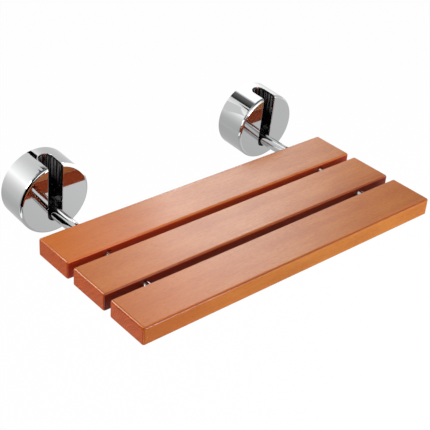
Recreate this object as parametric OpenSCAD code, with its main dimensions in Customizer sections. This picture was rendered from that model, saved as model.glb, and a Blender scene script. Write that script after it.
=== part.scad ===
// Fold-down wall seat: three wooden slats on two steel arms, each arm hinged
// in the slot of a round chromed wall bracket.
// Row frame: +X along the wall, +Y into the wall, +Z up. The wall is the plane
// y = 0, and the origin lies on it midway between the two brackets' centres.

/* [Seat] */
// Length of each slat, along the wall
seat_len = 475; // [430:5:560]
// Width of each slat, from the wall outwards
slat_w = 63; // [52:1:80]
// Thickness of each slat
slat_t = 25; // [24:1:32]
// Gap between one slat and the next
slat_gap = 11; // [6:1:20]
// Radius along every edge of a slat
slat_round = 3; // [1.5:0.5:5]

/* [Arms] */
// Distance between the axes of the two arms
arm_spacing = 360; // [300:5:380]
// Diameter of each arm
arm_d = 16; // [14:1:17]
// Angle in degrees by which the arms rise towards the front, seat down
arm_rise = 3; // [1:0.5:4]
// How far each arm runs into the front slat
arm_grip = 48; // [38:1:50]
// Free space on each side of an arm in its slot
slot_clear = 2.5; // [2:0.25:3]
// Least space between a bracket's edge and the rear slat as the seat folds
fold_clear = 1.5; // [1:0.25:8]

/* [Bracket] */
// Diameter of each round housing
housing_d = 100; // [97:1:120]
// Depth of each housing, from the wall to its face
housing_depth = 47; // [45:0.5:52]
// Wall of the housing's round side
housing_wall = 3; // [2:0.5:4]
// Wall of the housing's face
housing_face = 3; // [2:0.5:4]
// Rounding between the housing's side and its face
housing_round = 4; // [2:0.5:5]
// Height of the hinge pin above the housing's lowest point
pivot_rise = 28.5; // [27:0.5:31]

/* [Wall plate] */
// Thickness of the plate that is screwed to the wall
plate_t = 6; // [5:0.5:7]
// Distance across between a plate's two columns of wall screws
screw_across = 56; // [55:1:62]
// Distance between its two rows of wall screws
screw_up = 44; // [36:1:48]
// Diameter of the wall screws' clearance holes
screw_hole_d = 6.5; // [5.5:0.5:7]

/* [Pivot block] */
// Thickness of the two cheeks beside the slot
cheek_t = 8; // [7:0.5:8.5]
// Metal under the slot
floor_t = 8; // [6:0.5:9]
// Diameter of the hinge pin
pin_d = 8; // [6:0.5:8.5]

/* [Hidden] */
$fn = 96;

// Overrun of every cut past the faces it opens
over = 1;
// Radial play of a running or seated round fit
run_fit = 0.05;
// Play of the pieces that drop into the housing
shell_fit = 0.3;
// Play of an arm in the slats' holes, and of the washers on the hinge pin
slat_fit = 0.1;
// Play between washers stacked beside the arm
stack_fit = 0.05;
// Number of sides of a hexagon socket
hex_sides = 6;
left = -1;
right = 1;

// Pad that the arm rests on: how far from the hinge pin it starts, how far it
// keeps behind the block's front, how deep its saddle is, and its peg
pad_start = 10.5;
pad_recess = 0.7;
pad_drop = 3;
peg_d = 4;
peg_len = 4;

// Slot, and the block round it. The depth left over by the slot's round end
// and the arm's eye is shared between the metal behind the slot and the pad
slot_r = arm_d / 2 + slot_clear;
housing_in_r = housing_d / 2 - housing_wall;
insert_r = housing_in_r - shell_fit;
block_half = slot_r + cheek_t;
block_front = housing_depth - housing_face - shell_fit;
spare_depth = block_front - plate_t - slot_r - pad_start - pad_recess;
web_share = 0.5;
pivot_back = plate_t + web_share * spare_depth + slot_r;
pad_end = block_front - pivot_back - pad_recess;
pivot_drop = housing_d / 2 - pivot_rise;
block_low = pivot_drop + slot_r + floor_t;

// Arm's eye and the pieces on the hinge pin
flat_cut = 2;
flat_len = 12;
eye_half = arm_d / 2 - flat_cut;
bush_wall = 1;
bush_r = pin_d / 2 + run_fit + bush_wall;
flange_t = 2;
flange_w = 2;
flange_r = bush_r + flange_w;
washer_t = 1.2;
washer_seat = eye_half + flange_t + stack_fit;
spring_seat = washer_seat + washer_t + stack_fit;
spring_t = 0.5;
spring_h = slot_r - spring_seat - stack_fit;
pocket_play = 2;
pocket_r = flange_r + pocket_play;

// Hinge pin and its clip
head_w = 2;
head_h = 2.5;
groove_cut = 0.8;
clip_t = 1;
clip_w = 3;
clip_play = 0.1;
pin_tail = 1.5;
groove_r = pin_d / 2 - groove_cut;

// Countersunk socket screws: diameter, head, length and socket across corners
slat_screw_d = 5;
slat_screw_head_d = 9.2;
slat_screw_len = 13;
slat_screw_socket = 3.4;
slat_screw_sunk = 0.3;
block_screw_d = 5;
block_screw_head_d = 9.2;
block_screw_len = 16;
block_screw_socket = 3.4;
block_screw_sunk = 0.2;
// Rows of block screws, up and down from the housing's centre
block_screw_top = 22;
block_screw_low = pivot_drop + slot_r + block_screw_d / 2;
block_screw_x = slot_r + cheek_t / 2;
socket_depth_share = 0.8;

// Countersinks of the wall screws
screw_head_d = 12.5;
screw_head_h = 3.2;

// Grub screws that hold the housing on its plate
grub_d = 4;
grub_len = 6;
grub_tip = 1.2;
grub_socket = 2.2;
grub_socket_depth = 2.4;
grub_sunk = 0.4;
grub_angles = [-60, -120];

// Slats' places along the arms, from the hinge pin outwards. The rear slat
// has to clear the rounded edge at the top of the housing's face
edge_out = housing_depth - housing_round - pivot_back;
edge_up = housing_d / 2 - housing_round + pivot_drop;
slat_start = sqrt(edge_out * edge_out + edge_up * edge_up) + housing_round + fold_clear;
slat_pitch = slat_w + slat_gap;
arm_len = slat_start + 2 * slat_pitch + arm_grip;
arm_end_play = 0.5;
arm_chamfer = 1;

// Puts a piece drawn with z out of the wall and y up onto the wall
module on_wall() {
    rotate([90, 0, 0]) children();
}

// Puts a bracket's piece at the left or right bracket, with mirrored pairs
module at_bracket(side) {
    translate([side * arm_spacing / 2, 0, 0])
        on_wall()
            mirror([side == left ? 1 : 0, 0, 0])
                children();
}

// Puts a piece of a bracket at its hinge pin, level
module at_pin(side) {
    at_bracket(side) translate([0, -pivot_drop, pivot_back]) children();
}

// Puts a piece of the seat at the hinge line, turned with the arms
module on_seat(x = 0) {
    translate([x, 0, 0])
        on_wall()
            translate([0, -pivot_drop, pivot_back])
                rotate([-arm_rise, 0, 0])
                    children();
}

// Turns a piece drawn along z so that it lies along x
module along_x() {
    rotate([0, 90, 0]) children();
}

module rounded_rect(size, r) {
    square([size.x - 2 * r, size.y], center = true);
    square([size.x, size.y - 2 * r], center = true);
    for (x = [-1, 1], y = [-1, 1])
        translate([x * (size.x / 2 - r), y * (size.y / 2 - r)]) circle(r);
}

// Box with every edge rounded, centred
module rounded_box(size, r) {
    intersection() {
        linear_extrude(size.z, center = true) rounded_rect([size.x, size.y], r);
        rotate([90, 0, 0])
            linear_extrude(size.y, center = true) rounded_rect([size.x, size.z], r);
        along_x()
            linear_extrude(size.x, center = true) rounded_rect([size.z, size.y], r);
    }
}

// Flat ring along z
module ring(inner_r, outer_r, h) {
    difference() {
        cylinder(r = outer_r, h = h);
        translate([0, 0, -over]) cylinder(r = inner_r, h = h + 2 * over);
    }
}

// Countersunk socket screw, its head's top at z = 0 and its shank along +z
module countersunk_screw(d, head_d, len, socket) {
    head_h = (head_d - d) / 2;
    difference() {
        union() {
            cylinder(d1 = head_d, d2 = d, h = head_h);
            cylinder(d = d, h = len);
        }
        translate([0, 0, -over])
            cylinder(d = socket, h = head_h * socket_depth_share + over, $fn = hex_sides);
    }
}

// Hole for that screw, its mouth at z = 0 and the head sunk below it
module countersunk_hole(d, head_d, len, sunk) {
    head_h = (head_d - d) / 2;
    translate([0, 0, -over]) cylinder(d = d + 2 * run_fit, h = len + over);
    translate([0, 0, sunk]) cylinder(d1 = head_d + 2 * run_fit, d2 = d + 2 * run_fit, h = head_h);
    translate([0, 0, -over]) cylinder(d = head_d + 2 * run_fit, h = sunk + over);
}

// The space an arm swings through, from level to upright, about the hinge pin
module slot_space() {
    sphere(r = slot_r);
    cylinder(r = slot_r, h = housing_depth);
    rotate([-90, 0, 0]) cylinder(r = slot_r, h = housing_d);
    translate([-slot_r, 0, 0]) cube([2 * slot_r, housing_d, housing_depth]);
}

// Places of the wall screws on a plate
module wall_screw_places() {
    for (x = [-1, 1], y = [-1, 1])
        translate([x * screw_across / 2, y * screw_up / 2, 0]) children();
}

// Places of the screws between a plate and its block
module block_screw_places() {
    for (x = [-1, 1], y = [block_screw_top, -block_screw_low])
        translate([x * block_screw_x, y, 0]) children();
}

// Places of the grub screws round a housing, their axes along +z and inwards
module grub_places() {
    for (a = grub_angles)
        rotate([0, 0, a])
            translate([housing_d / 2 - grub_sunk, 0, plate_t / 2])
                rotate([0, -90, 0])
                    children();
}

module wall_plate() {
    color("silver")
    difference() {
        cylinder(r = insert_r, h = plate_t);
        wall_screw_places() {
            translate([0, 0, -over]) cylinder(d = screw_hole_d, h = plate_t + 2 * over);
            translate([0, 0, plate_t - screw_head_h])
                cylinder(d1 = screw_hole_d, d2 = screw_head_d, h = screw_head_h);
            translate([0, 0, plate_t]) cylinder(d = screw_head_d, h = over);
        }
        block_screw_places()
            countersunk_hole(block_screw_d, block_screw_head_d, block_screw_len, block_screw_sunk);
        grub_places() cylinder(d = grub_d + 2 * run_fit, h = grub_len + over);
    }
}

module block_screws() {
    color("dimgray")
    block_screw_places()
        translate([0, 0, block_screw_sunk])
            countersunk_screw(block_screw_d, block_screw_head_d,
                block_screw_len - block_screw_sunk, block_screw_socket);
}

module pivot_block() {
    color("#1c1c1e")
    difference() {
        intersection() {
            translate([0, 0, plate_t]) cylinder(r = insert_r, h = block_front - plate_t);
            translate([-block_half, -block_low, plate_t])
                cube([2 * block_half, block_low + housing_d / 2, block_front - plate_t]);
        }
        translate([0, -pivot_drop, pivot_back]) {
            slot_space();
            along_x() cylinder(r = pocket_r, h = 2 * slot_r, center = true);
            along_x() cylinder(r = pin_d / 2 + run_fit, h = 2 * (block_half + over), center = true);
            rest_pad_peg(run_fit);
        }
        block_screw_places() cylinder(d = block_screw_d + 2 * run_fit, h = block_screw_len + over);
    }
}

module housing() {
    edge_r = housing_d / 2 - housing_round;
    color("gainsboro")
    difference() {
        union() {
            cylinder(d = housing_d, h = housing_depth - housing_round);
            cylinder(r = edge_r, h = housing_depth);
            translate([0, 0, housing_depth - housing_round])
                rotate_extrude() translate([edge_r, 0]) circle(housing_round);
        }
        translate([0, 0, -over])
            cylinder(r = housing_in_r, h = housing_depth - housing_face + over);
        translate([0, -pivot_drop, pivot_back]) slot_space();
        grub_places()
            translate([0, 0, -over]) cylinder(d = grub_d + 2 * run_fit, h = grub_len + over);
    }
}

module grub_screws() {
    color("dimgray")
    grub_places() difference() {
        union() {
            cylinder(d = grub_d, h = grub_len - grub_tip);
            translate([0, 0, grub_len - grub_tip])
                cylinder(d1 = grub_d, d2 = grub_d / 2, h = grub_tip);
        }
        translate([0, 0, -over])
            cylinder(d = grub_socket, h = grub_socket_depth + over, $fn = hex_sides);
    }
}

// Hinge pin along x: a head on the inner cheek and a groove past the outer one
module hinge_pin() {
    shank_r = pin_d / 2;
    groove_x = block_half + clip_play;
    tail_x = groove_x + clip_t + clip_play;
    color("silver")
    along_x() {
        translate([0, 0, -block_half - head_h]) cylinder(r = shank_r + head_w, h = head_h);
        translate([0, 0, -block_half]) cylinder(r = shank_r, h = block_half + groove_x);
        cylinder(r = groove_r, h = tail_x);
        translate([0, 0, tail_x]) cylinder(r = shank_r, h = pin_tail);
    }
}

// C-shaped clip in the pin's groove, open downwards
module pin_clip() {
    clip_r = pin_d / 2 + clip_w;
    mouth = 2 * groove_r - groove_cut;
    color("dimgray")
    translate([block_half + clip_play + clip_play / 2, 0, 0])
        along_x() difference() {
            ring(groove_r + run_fit, clip_r, clip_t);
            translate([0, -mouth / 2, -over]) cube([clip_r + over, mouth, clip_t + 2 * over]);
        }
}

// Peg under the rest pad, grown by play for its hole in the block
module rest_pad_peg(play) {
    translate([0, -slot_r - peg_len - play, (pad_start + pad_end) / 2])
        rotate([-90, 0, 0])
            cylinder(d = peg_d + 2 * play, h = peg_len + slot_clear + play);
}

// Saddle between the slot's floor and the arm
module rest_pad() {
    color("#2a2a2c")
    difference() {
        union() {
            intersection() {
                translate([0, 0, pad_start]) cylinder(r = slot_r - run_fit, h = pad_end - pad_start);
                translate([-slot_r, -slot_r, 0]) cube([2 * slot_r, slot_r - pad_drop, pad_end]);
            }
            rest_pad_peg(0);
        }
        rotate([-arm_rise, 0, 0]) cylinder(d = arm_d + 2 * run_fit, h = arm_len);
    }
}

// Dished spring washers between the thrust washers and the cheeks
module spring_washers() {
    inner_r = pin_d / 2 + slat_fit;
    color("#3a3a3e")
    for (side = [left, right])
        mirror([side == left ? 1 : 0, 0, 0])
            translate([spring_seat, 0, 0])
                along_x() rotate_extrude() polygon([
                    [inner_r, spring_h - spring_t], [inner_r, spring_h],
                    [flange_r, spring_t], [flange_r, 0]
                ]);
}

module thrust_washers() {
    color("#2b2b2e")
    for (side = [left, right])
        mirror([side == left ? 1 : 0, 0, 0])
            translate([washer_seat, 0, 0])
                along_x() ring(pin_d / 2 + slat_fit, flange_r, washer_t);
}

// Flanged bushes pressed into the arm's eye from both sides
module arm_bushes() {
    color("#232325")
    for (side = [left, right])
        mirror([side == left ? 1 : 0, 0, 0])
            along_x() {
                translate([0, 0, stack_fit])
                    ring(pin_d / 2 + run_fit, bush_r, eye_half + flange_t - stack_fit);
                translate([0, 0, eye_half + run_fit])
                    ring(pin_d / 2 + run_fit, flange_r, flange_t - run_fit);
            }
}

// Places of the three slat screws along an arm, their axes up from below
module slat_screw_place(index) {
    translate([0, -slat_t / 2, slat_start + index * slat_pitch + slat_w / 2])
        rotate([-90, 0, 0])
            children();
}

module arm() {
    color("gainsboro")
    difference() {
        union() {
            intersection() {
                translate([0, 0, -arm_d / 2]) cylinder(d = arm_d, h = arm_d);
                along_x() cylinder(d = arm_d, h = arm_d, center = true);
            }
            cylinder(d = arm_d, h = arm_len - arm_end_play - arm_chamfer);
            translate([0, 0, arm_len - arm_end_play - arm_chamfer])
                cylinder(d1 = arm_d, d2 = arm_d - 2 * arm_chamfer, h = arm_chamfer);
        }
        for (side = [left, right])
            translate([side * (eye_half + flat_cut), 0, (flat_len - arm_d) / 2])
                cube([2 * flat_cut, arm_d + over, flat_len + arm_d], center = true);
        along_x() cylinder(r = bush_r + run_fit, h = arm_d + over, center = true);
        for (index = [0 : 2])
            slat_screw_place(index)
                cylinder(d = slat_screw_d + 2 * run_fit, h = slat_screw_sunk + slat_screw_len + run_fit);
    }
}

// One slat: index 0 is nearest the wall. Holes are bored for both arms
module slat(index, shade) {
    start = slat_start + index * slat_pitch;
    hole_end = min(start + slat_w + over, arm_len);
    color(shade)
    difference() {
        translate([0, 0, start + slat_w / 2])
            rounded_box([seat_len, slat_t, slat_w], slat_round);
        for (side = [left, right])
            translate([side * arm_spacing / 2, 0, 0]) {
                translate([0, 0, start - over])
                    cylinder(d = arm_d + 2 * slat_fit, h = hole_end - start + over);
                slat_screw_place(index)
                    countersunk_hole(slat_screw_d, slat_screw_head_d, slat_t / 2, slat_screw_sunk);
            }
    }
}

module slat_screws(index) {
    color("silver")
    for (side = [left, right])
        translate([side * arm_spacing / 2, 0, 0])
            slat_screw_place(index)
                translate([0, 0, slat_screw_sunk])
                    countersunk_screw(slat_screw_d, slat_screw_head_d, slat_screw_len, slat_screw_socket);
}

at_bracket(left) wall_plate();  // left_wall_plate
at_bracket(right) wall_plate();  // right_wall_plate
at_bracket(left) pivot_block();  // left_pivot_block
at_bracket(right) pivot_block();  // right_pivot_block
at_bracket(left) block_screws();  // left_block_screws
at_bracket(right) block_screws();  // right_block_screws
at_bracket(left) housing();  // left_housing
at_bracket(right) housing();  // right_housing
at_bracket(left) grub_screws();  // left_grub_screws
at_bracket(right) grub_screws();  // right_grub_screws
at_pin(left) hinge_pin();  // left_hinge_pin
at_pin(right) hinge_pin();  // right_hinge_pin
at_pin(left) pin_clip();  // left_pin_clip
at_pin(right) pin_clip();  // right_pin_clip
at_pin(left) rest_pad();  // left_rest_pad
at_pin(right) rest_pad();  // right_rest_pad
at_pin(left) spring_washers();  // left_spring_washers
at_pin(right) spring_washers();  // right_spring_washers
at_pin(left) thrust_washers();  // left_thrust_washers
at_pin(right) thrust_washers();  // right_thrust_washers
on_seat(left * arm_spacing / 2) arm_bushes();  // left_arm_bushes
on_seat(right * arm_spacing / 2) arm_bushes();  // right_arm_bushes
on_seat(left * arm_spacing / 2) arm();  // left_arm
on_seat(right * arm_spacing / 2) arm();  // right_arm
on_seat() slat(0, "#c4703c");  // rear_slat
on_seat() slat(1, "#bf6a3a");  // middle_slat
on_seat() slat(2, "#b96838");  // front_slat
on_seat() slat_screws(0);  // rear_slat_screws
on_seat() slat_screws(1);  // middle_slat_screws
on_seat() slat_screws(2);  // front_slat_screws
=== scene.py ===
"""Fold-down wall seat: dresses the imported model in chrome, stained wood and black.

Sizes of the parts are in millimetres, as on a drawing. Meshes, finishes and the
studio are in metres. The row frame has +X along the wall, +Y into the wall and +Z
up. The seat frame has x along the slats, u out along the arms from the hinge line,
and w up through the slats' thickness.
"""

from __future__ import annotations

import logging
import math
from dataclasses import dataclass, field
from enum import Enum
from typing import Iterable, Sequence, Union

import bmesh
import bpy
import numpy as np
from mathutils import Matrix, Vector

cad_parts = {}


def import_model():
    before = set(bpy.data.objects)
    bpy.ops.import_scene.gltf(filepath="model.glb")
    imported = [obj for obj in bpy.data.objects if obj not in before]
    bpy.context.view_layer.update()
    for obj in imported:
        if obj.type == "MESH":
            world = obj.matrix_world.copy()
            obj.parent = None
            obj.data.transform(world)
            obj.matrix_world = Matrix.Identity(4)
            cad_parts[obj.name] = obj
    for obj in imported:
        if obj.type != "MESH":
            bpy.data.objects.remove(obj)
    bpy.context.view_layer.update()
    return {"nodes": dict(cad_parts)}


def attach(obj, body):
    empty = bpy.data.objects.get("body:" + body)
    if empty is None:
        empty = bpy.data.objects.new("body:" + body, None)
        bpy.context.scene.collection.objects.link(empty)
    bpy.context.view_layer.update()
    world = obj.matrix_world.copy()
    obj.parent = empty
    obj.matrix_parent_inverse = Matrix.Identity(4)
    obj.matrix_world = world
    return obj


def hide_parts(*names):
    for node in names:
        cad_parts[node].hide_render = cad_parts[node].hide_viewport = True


LOG = logging.getLogger("wall_seat")
WHITE = (1.0, 1.0, 1.0, 1.0)

# A millimetre in metres, and how many millimetres a cutter reaches past a face

MM = 0.001
OVERCUT = 2.0

# Sides of the round shapes

ARM_SIDES = 96
BORE_SIDES = 72
RING_SIDES = 56
EYE_SIDES = 48
SCREW_SIDES = 40
TAPPED_SIDES = 32

# Kinds of values

Colour = tuple[float, float, float]
Triple = tuple[float, float, float]
Shade = tuple[float, float, float, float]
Pair = tuple[float, float]
Tones = tuple[tuple[float, Colour], ...]
Feed = Union[float, int, bool, Sequence[float], bpy.types.NodeSocket, bpy.types.Node]


def opaque(colour: Colour) -> Shade:
    """Return a colour with full opacity."""
    return (*colour, 1.0)


class Side(Enum):
    """One of the two brackets, by its sign along X."""

    LEFT = -1
    RIGHT = 1


class Slat(Enum):
    """One of the three slats, by its index from the wall."""

    REAR = 0
    MIDDLE = 1
    FRONT = 2


class Body(Enum):
    """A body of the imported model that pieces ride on."""

    BRACKETS = "brackets"
    SEAT = "seat"


@dataclass(frozen=True)
class Spot:
    """A place for a repeated piece.

    Attributes:
        point: where it goes, in metres.
        turn: Euler angles in degrees that take its own Z to its axis.
    """

    point: Vector
    turn: Triple = (0.0, 0.0, 0.0)


@dataclass(frozen=True)
class SeatSizes:
    """Sizes that the sub-assemblies share, as the solids have them.

    Attributes:
        arm_spacing: distance between the arms' axes.
        pivot_back: distance of the hinge line from the wall.
        pivot_drop: depth of the hinge line below the housings' centres.
        arm_rise: angle in degrees by which the arms rise towards the front.
        slot_r: half the width of a bracket's slot.
    """

    arm_spacing: float = 360.0
    pivot_back: float = 24.5
    pivot_drop: float = 21.5
    arm_rise: float = 3.0
    slot_r: float = 10.5

    def arm_x(self, side: Side) -> float:
        """Return the x of an arm's axis."""
        return side.value * self.arm_spacing / 2

    def seat_point(self, x: float, u: float, w: float) -> Vector:
        """Turn a point of the seat frame into the row frame.

        Args:
            x: place along the slats.
            u: distance out along the arms from the hinge line.
            w: height above the arms' axes.

        Returns:
            The point in metres.
        """
        rise = math.radians(self.arm_rise)
        out = u * math.cos(rise) - w * math.sin(rise) + self.pivot_back
        up = u * math.sin(rise) + w * math.cos(rise) - self.pivot_drop
        return Vector((x, -out, up)) * MM

    def eye_spots(self, seat: float) -> list[Spot]:
        """Return the places on the hinge line, at both sides of both arms' eyes.

        Args:
            seat: distance of a place from the arm's axis.

        Returns:
            The four places, each with its Z away from the arm.
        """
        spots = []
        for side in Side:
            for way in (-1, 1):
                x = self.arm_x(side) + way * seat
                point = Vector((x, -self.pivot_back, -self.pivot_drop)) * MM
                spots.append(Spot(point, (0.0, 90.0 * way, 0.0)))
        return spots


def both(kind: str) -> list[str]:
    """Return the names of the left and the right node of a kind."""
    return [f"{side.name.lower()}_{kind}" for side in Side]


def in_metres(**sizes: float) -> dict[str, object]:
    """Turn sizes into what the inputs of a geometry tree take.

    Args:
        **sizes: sizes in millimetres by the input's name, in small letters with _ for a space.

    Returns:
        The sizes in metres by the input's own name.
    """
    return {name.replace("_", " ").title(): size * MM for name, size in sizes.items()}


# Node trees


class Graph:
    """Adds nodes to a tree and feeds their inputs."""

    def __init__(self, tree: bpy.types.NodeTree) -> None:
        """Keep the tree that nodes are added to."""
        self.tree = tree

    def feed(self, socket: bpy.types.NodeSocket, value: Feed) -> None:
        """Link a socket to an output, or set its value.

        Args:
            socket: the input to feed.
            value: an output, a node whose first output is meant, or a value.
        """
        if isinstance(value, bpy.types.Node):
            value = value.outputs[0]
        if isinstance(value, bpy.types.NodeSocket):
            self.tree.links.new(value, socket)
        else:
            socket.default_value = value

    def add(
        self, kind: str, inputs: dict[str | int, Feed] | None = None, **settings: object
    ) -> bpy.types.Node:
        """Add a node.

        Args:
            kind: the node's type name.
            inputs: what its inputs take, by name or index.
            **settings: properties of the node, set before its inputs.

        Returns:
            The new node.
        """
        made = self.tree.nodes.new(kind)
        for name, value in settings.items():
            setattr(made, name, value)
        for key, value in (inputs or {}).items():
            self.feed(made.inputs[key], value)
        return made

    def calc(self, operation: str, *values: Feed, clamp: bool = False) -> bpy.types.NodeSocket:
        """Add a Math node and return its output.

        Args:
            operation: the operation's name.
            *values: its operands in order.
            clamp: whether the result is kept between 0 and 1.

        Returns:
            The output socket.
        """
        inputs = dict(enumerate(values))
        return self.add("ShaderNodeMath", inputs, operation=operation, use_clamp=clamp).outputs[0]

    def total(self, parts: Iterable[tuple[Feed, float]]) -> bpy.types.NodeSocket:
        """Add values up, each times its share.

        Args:
            parts: the values and their shares.

        Returns:
            The sum.
        """
        total = 0.0
        for value, share in parts:
            total = self.calc("MULTIPLY_ADD", value, share, total)
        return total

    def vector(self, operation: str, *values: Feed) -> bpy.types.Node:
        """Add a Vector Math node and return it."""
        return self.add("ShaderNodeVectorMath", dict(enumerate(values)), operation=operation)

    def parts(self, vector: Feed) -> list[bpy.types.NodeSocket]:
        """Return the x, y and z of a vector."""
        return list(self.add("ShaderNodeSeparateXYZ", {0: vector}).outputs)

    def spread(
        self, value: Feed, low: float, high: float, to_low: float = 0.0, to_high: float = 1.0
    ) -> bpy.types.NodeSocket:
        """Ease a value from one range into another, clamped.

        Args:
            value: the value to map.
            low: where the range starts.
            high: where it ends.
            to_low: result at the start.
            to_high: result at the end.

        Returns:
            The output socket.
        """
        inputs = {"Value": value, "From Min": low, "From Max": high}
        inputs |= {"To Min": to_low, "To Max": to_high}
        made = self.add("ShaderNodeMapRange", inputs, interpolation_type="SMOOTHSTEP")
        return made.outputs[0]

    def ramp(self, share: Feed, stops: Sequence[tuple[float, Colour]]) -> bpy.types.NodeSocket:
        """Run a value through a row of colours.

        Args:
            share: the value, 0 to 1.
            stops: places and their colours.

        Returns:
            The colour.
        """
        made = self.add("ShaderNodeValToRGB", {0: share})
        row = made.color_ramp.elements
        while len(row) < len(stops):
            row.new(1.0)
        for element, (place, colour) in zip(row, stops):
            element.position = place
            element.color = opaque(colour)
        return made.outputs[0]


def empty_graph(owner: bpy.types.Material | bpy.types.World) -> Graph:
    """Give a material or a world an empty node tree.

    Args:
        owner: the material or the world.

    Returns:
        The tree's graph.
    """
    owner.use_nodes = True
    owner.node_tree.nodes.clear()
    return Graph(owner.node_tree)


@dataclass(frozen=True)
class Noise:
    """A noise over a piece's own coordinates.

    Attributes:
        cells: its cells per metre along each axis.
        detail: octaves.
        roughness: weight of the finer octaves.
        share: its share where noises are added up.
    """

    cells: Triple
    detail: float = 2.0
    roughness: float = 0.5
    share: float = 0.0


class ShaderGraph(Graph):
    """A material's tree with one Principled shader."""

    def __init__(self, material: bpy.types.Material) -> None:
        """Clear the material's tree and place its shader and output.

        Args:
            material: the material.
        """
        super().__init__(empty_graph(material).tree)
        self.shader = self.add("ShaderNodeBsdfPrincipled")
        self.add("ShaderNodeOutputMaterial", {"Surface": self.shader})
        coordinates = self.add("ShaderNodeTexCoord").outputs
        self.place, self.facing = coordinates["Object"], coordinates["Normal"]

    def surface(self, **inputs: Feed) -> None:
        """Feed inputs of the shader.

        Args:
            **inputs: values by the input's name, with _ for a space.
        """
        for name, value in inputs.items():
            self.feed(self.shader.inputs[name.replace("_", " ")], value)

    def noise(self, noise: Noise, place: Feed) -> bpy.types.Node:
        """Add a noise.

        Args:
            noise: what it is like.
            place: its coordinates, in metres.

        Returns:
            The node: its first output is the value, its second a colour.
        """
        scaled = self.add("ShaderNodeMapping", {"Vector": place, "Scale": noise.cells})
        inputs = {"Vector": scaled, "Scale": 1.0, "Detail": noise.detail}
        return self.add("ShaderNodeTexNoise", inputs | {"Roughness": noise.roughness})

    def noises(self, noises: Sequence[Noise], place: Feed) -> list[bpy.types.Node]:
        """Add several noises at the same coordinates."""
        return [self.noise(noise, place) for noise in noises]

    def blend(self, share: Feed, first: Feed, second: Feed, mode: str = "MIX") -> bpy.types.NodeSocket:
        """Mix two colours.

        Args:
            share: how much of the second colour.
            first: the first colour.
            second: the second colour.
            mode: the blend mode.

        Returns:
            The mixed colour.
        """
        inputs = {0: share, 6: first, 7: second}
        made = self.add("ShaderNodeMix", inputs, data_type="RGBA", blend_type=mode)
        return made.outputs[2]

    def bump(self, height: Feed, strength: float, depth: float) -> bpy.types.Node:
        """Turn a height into a bumped normal."""
        inputs = {"Height": height, "Strength": strength, "Distance": depth}
        return self.add("ShaderNodeBump", inputs)


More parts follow.
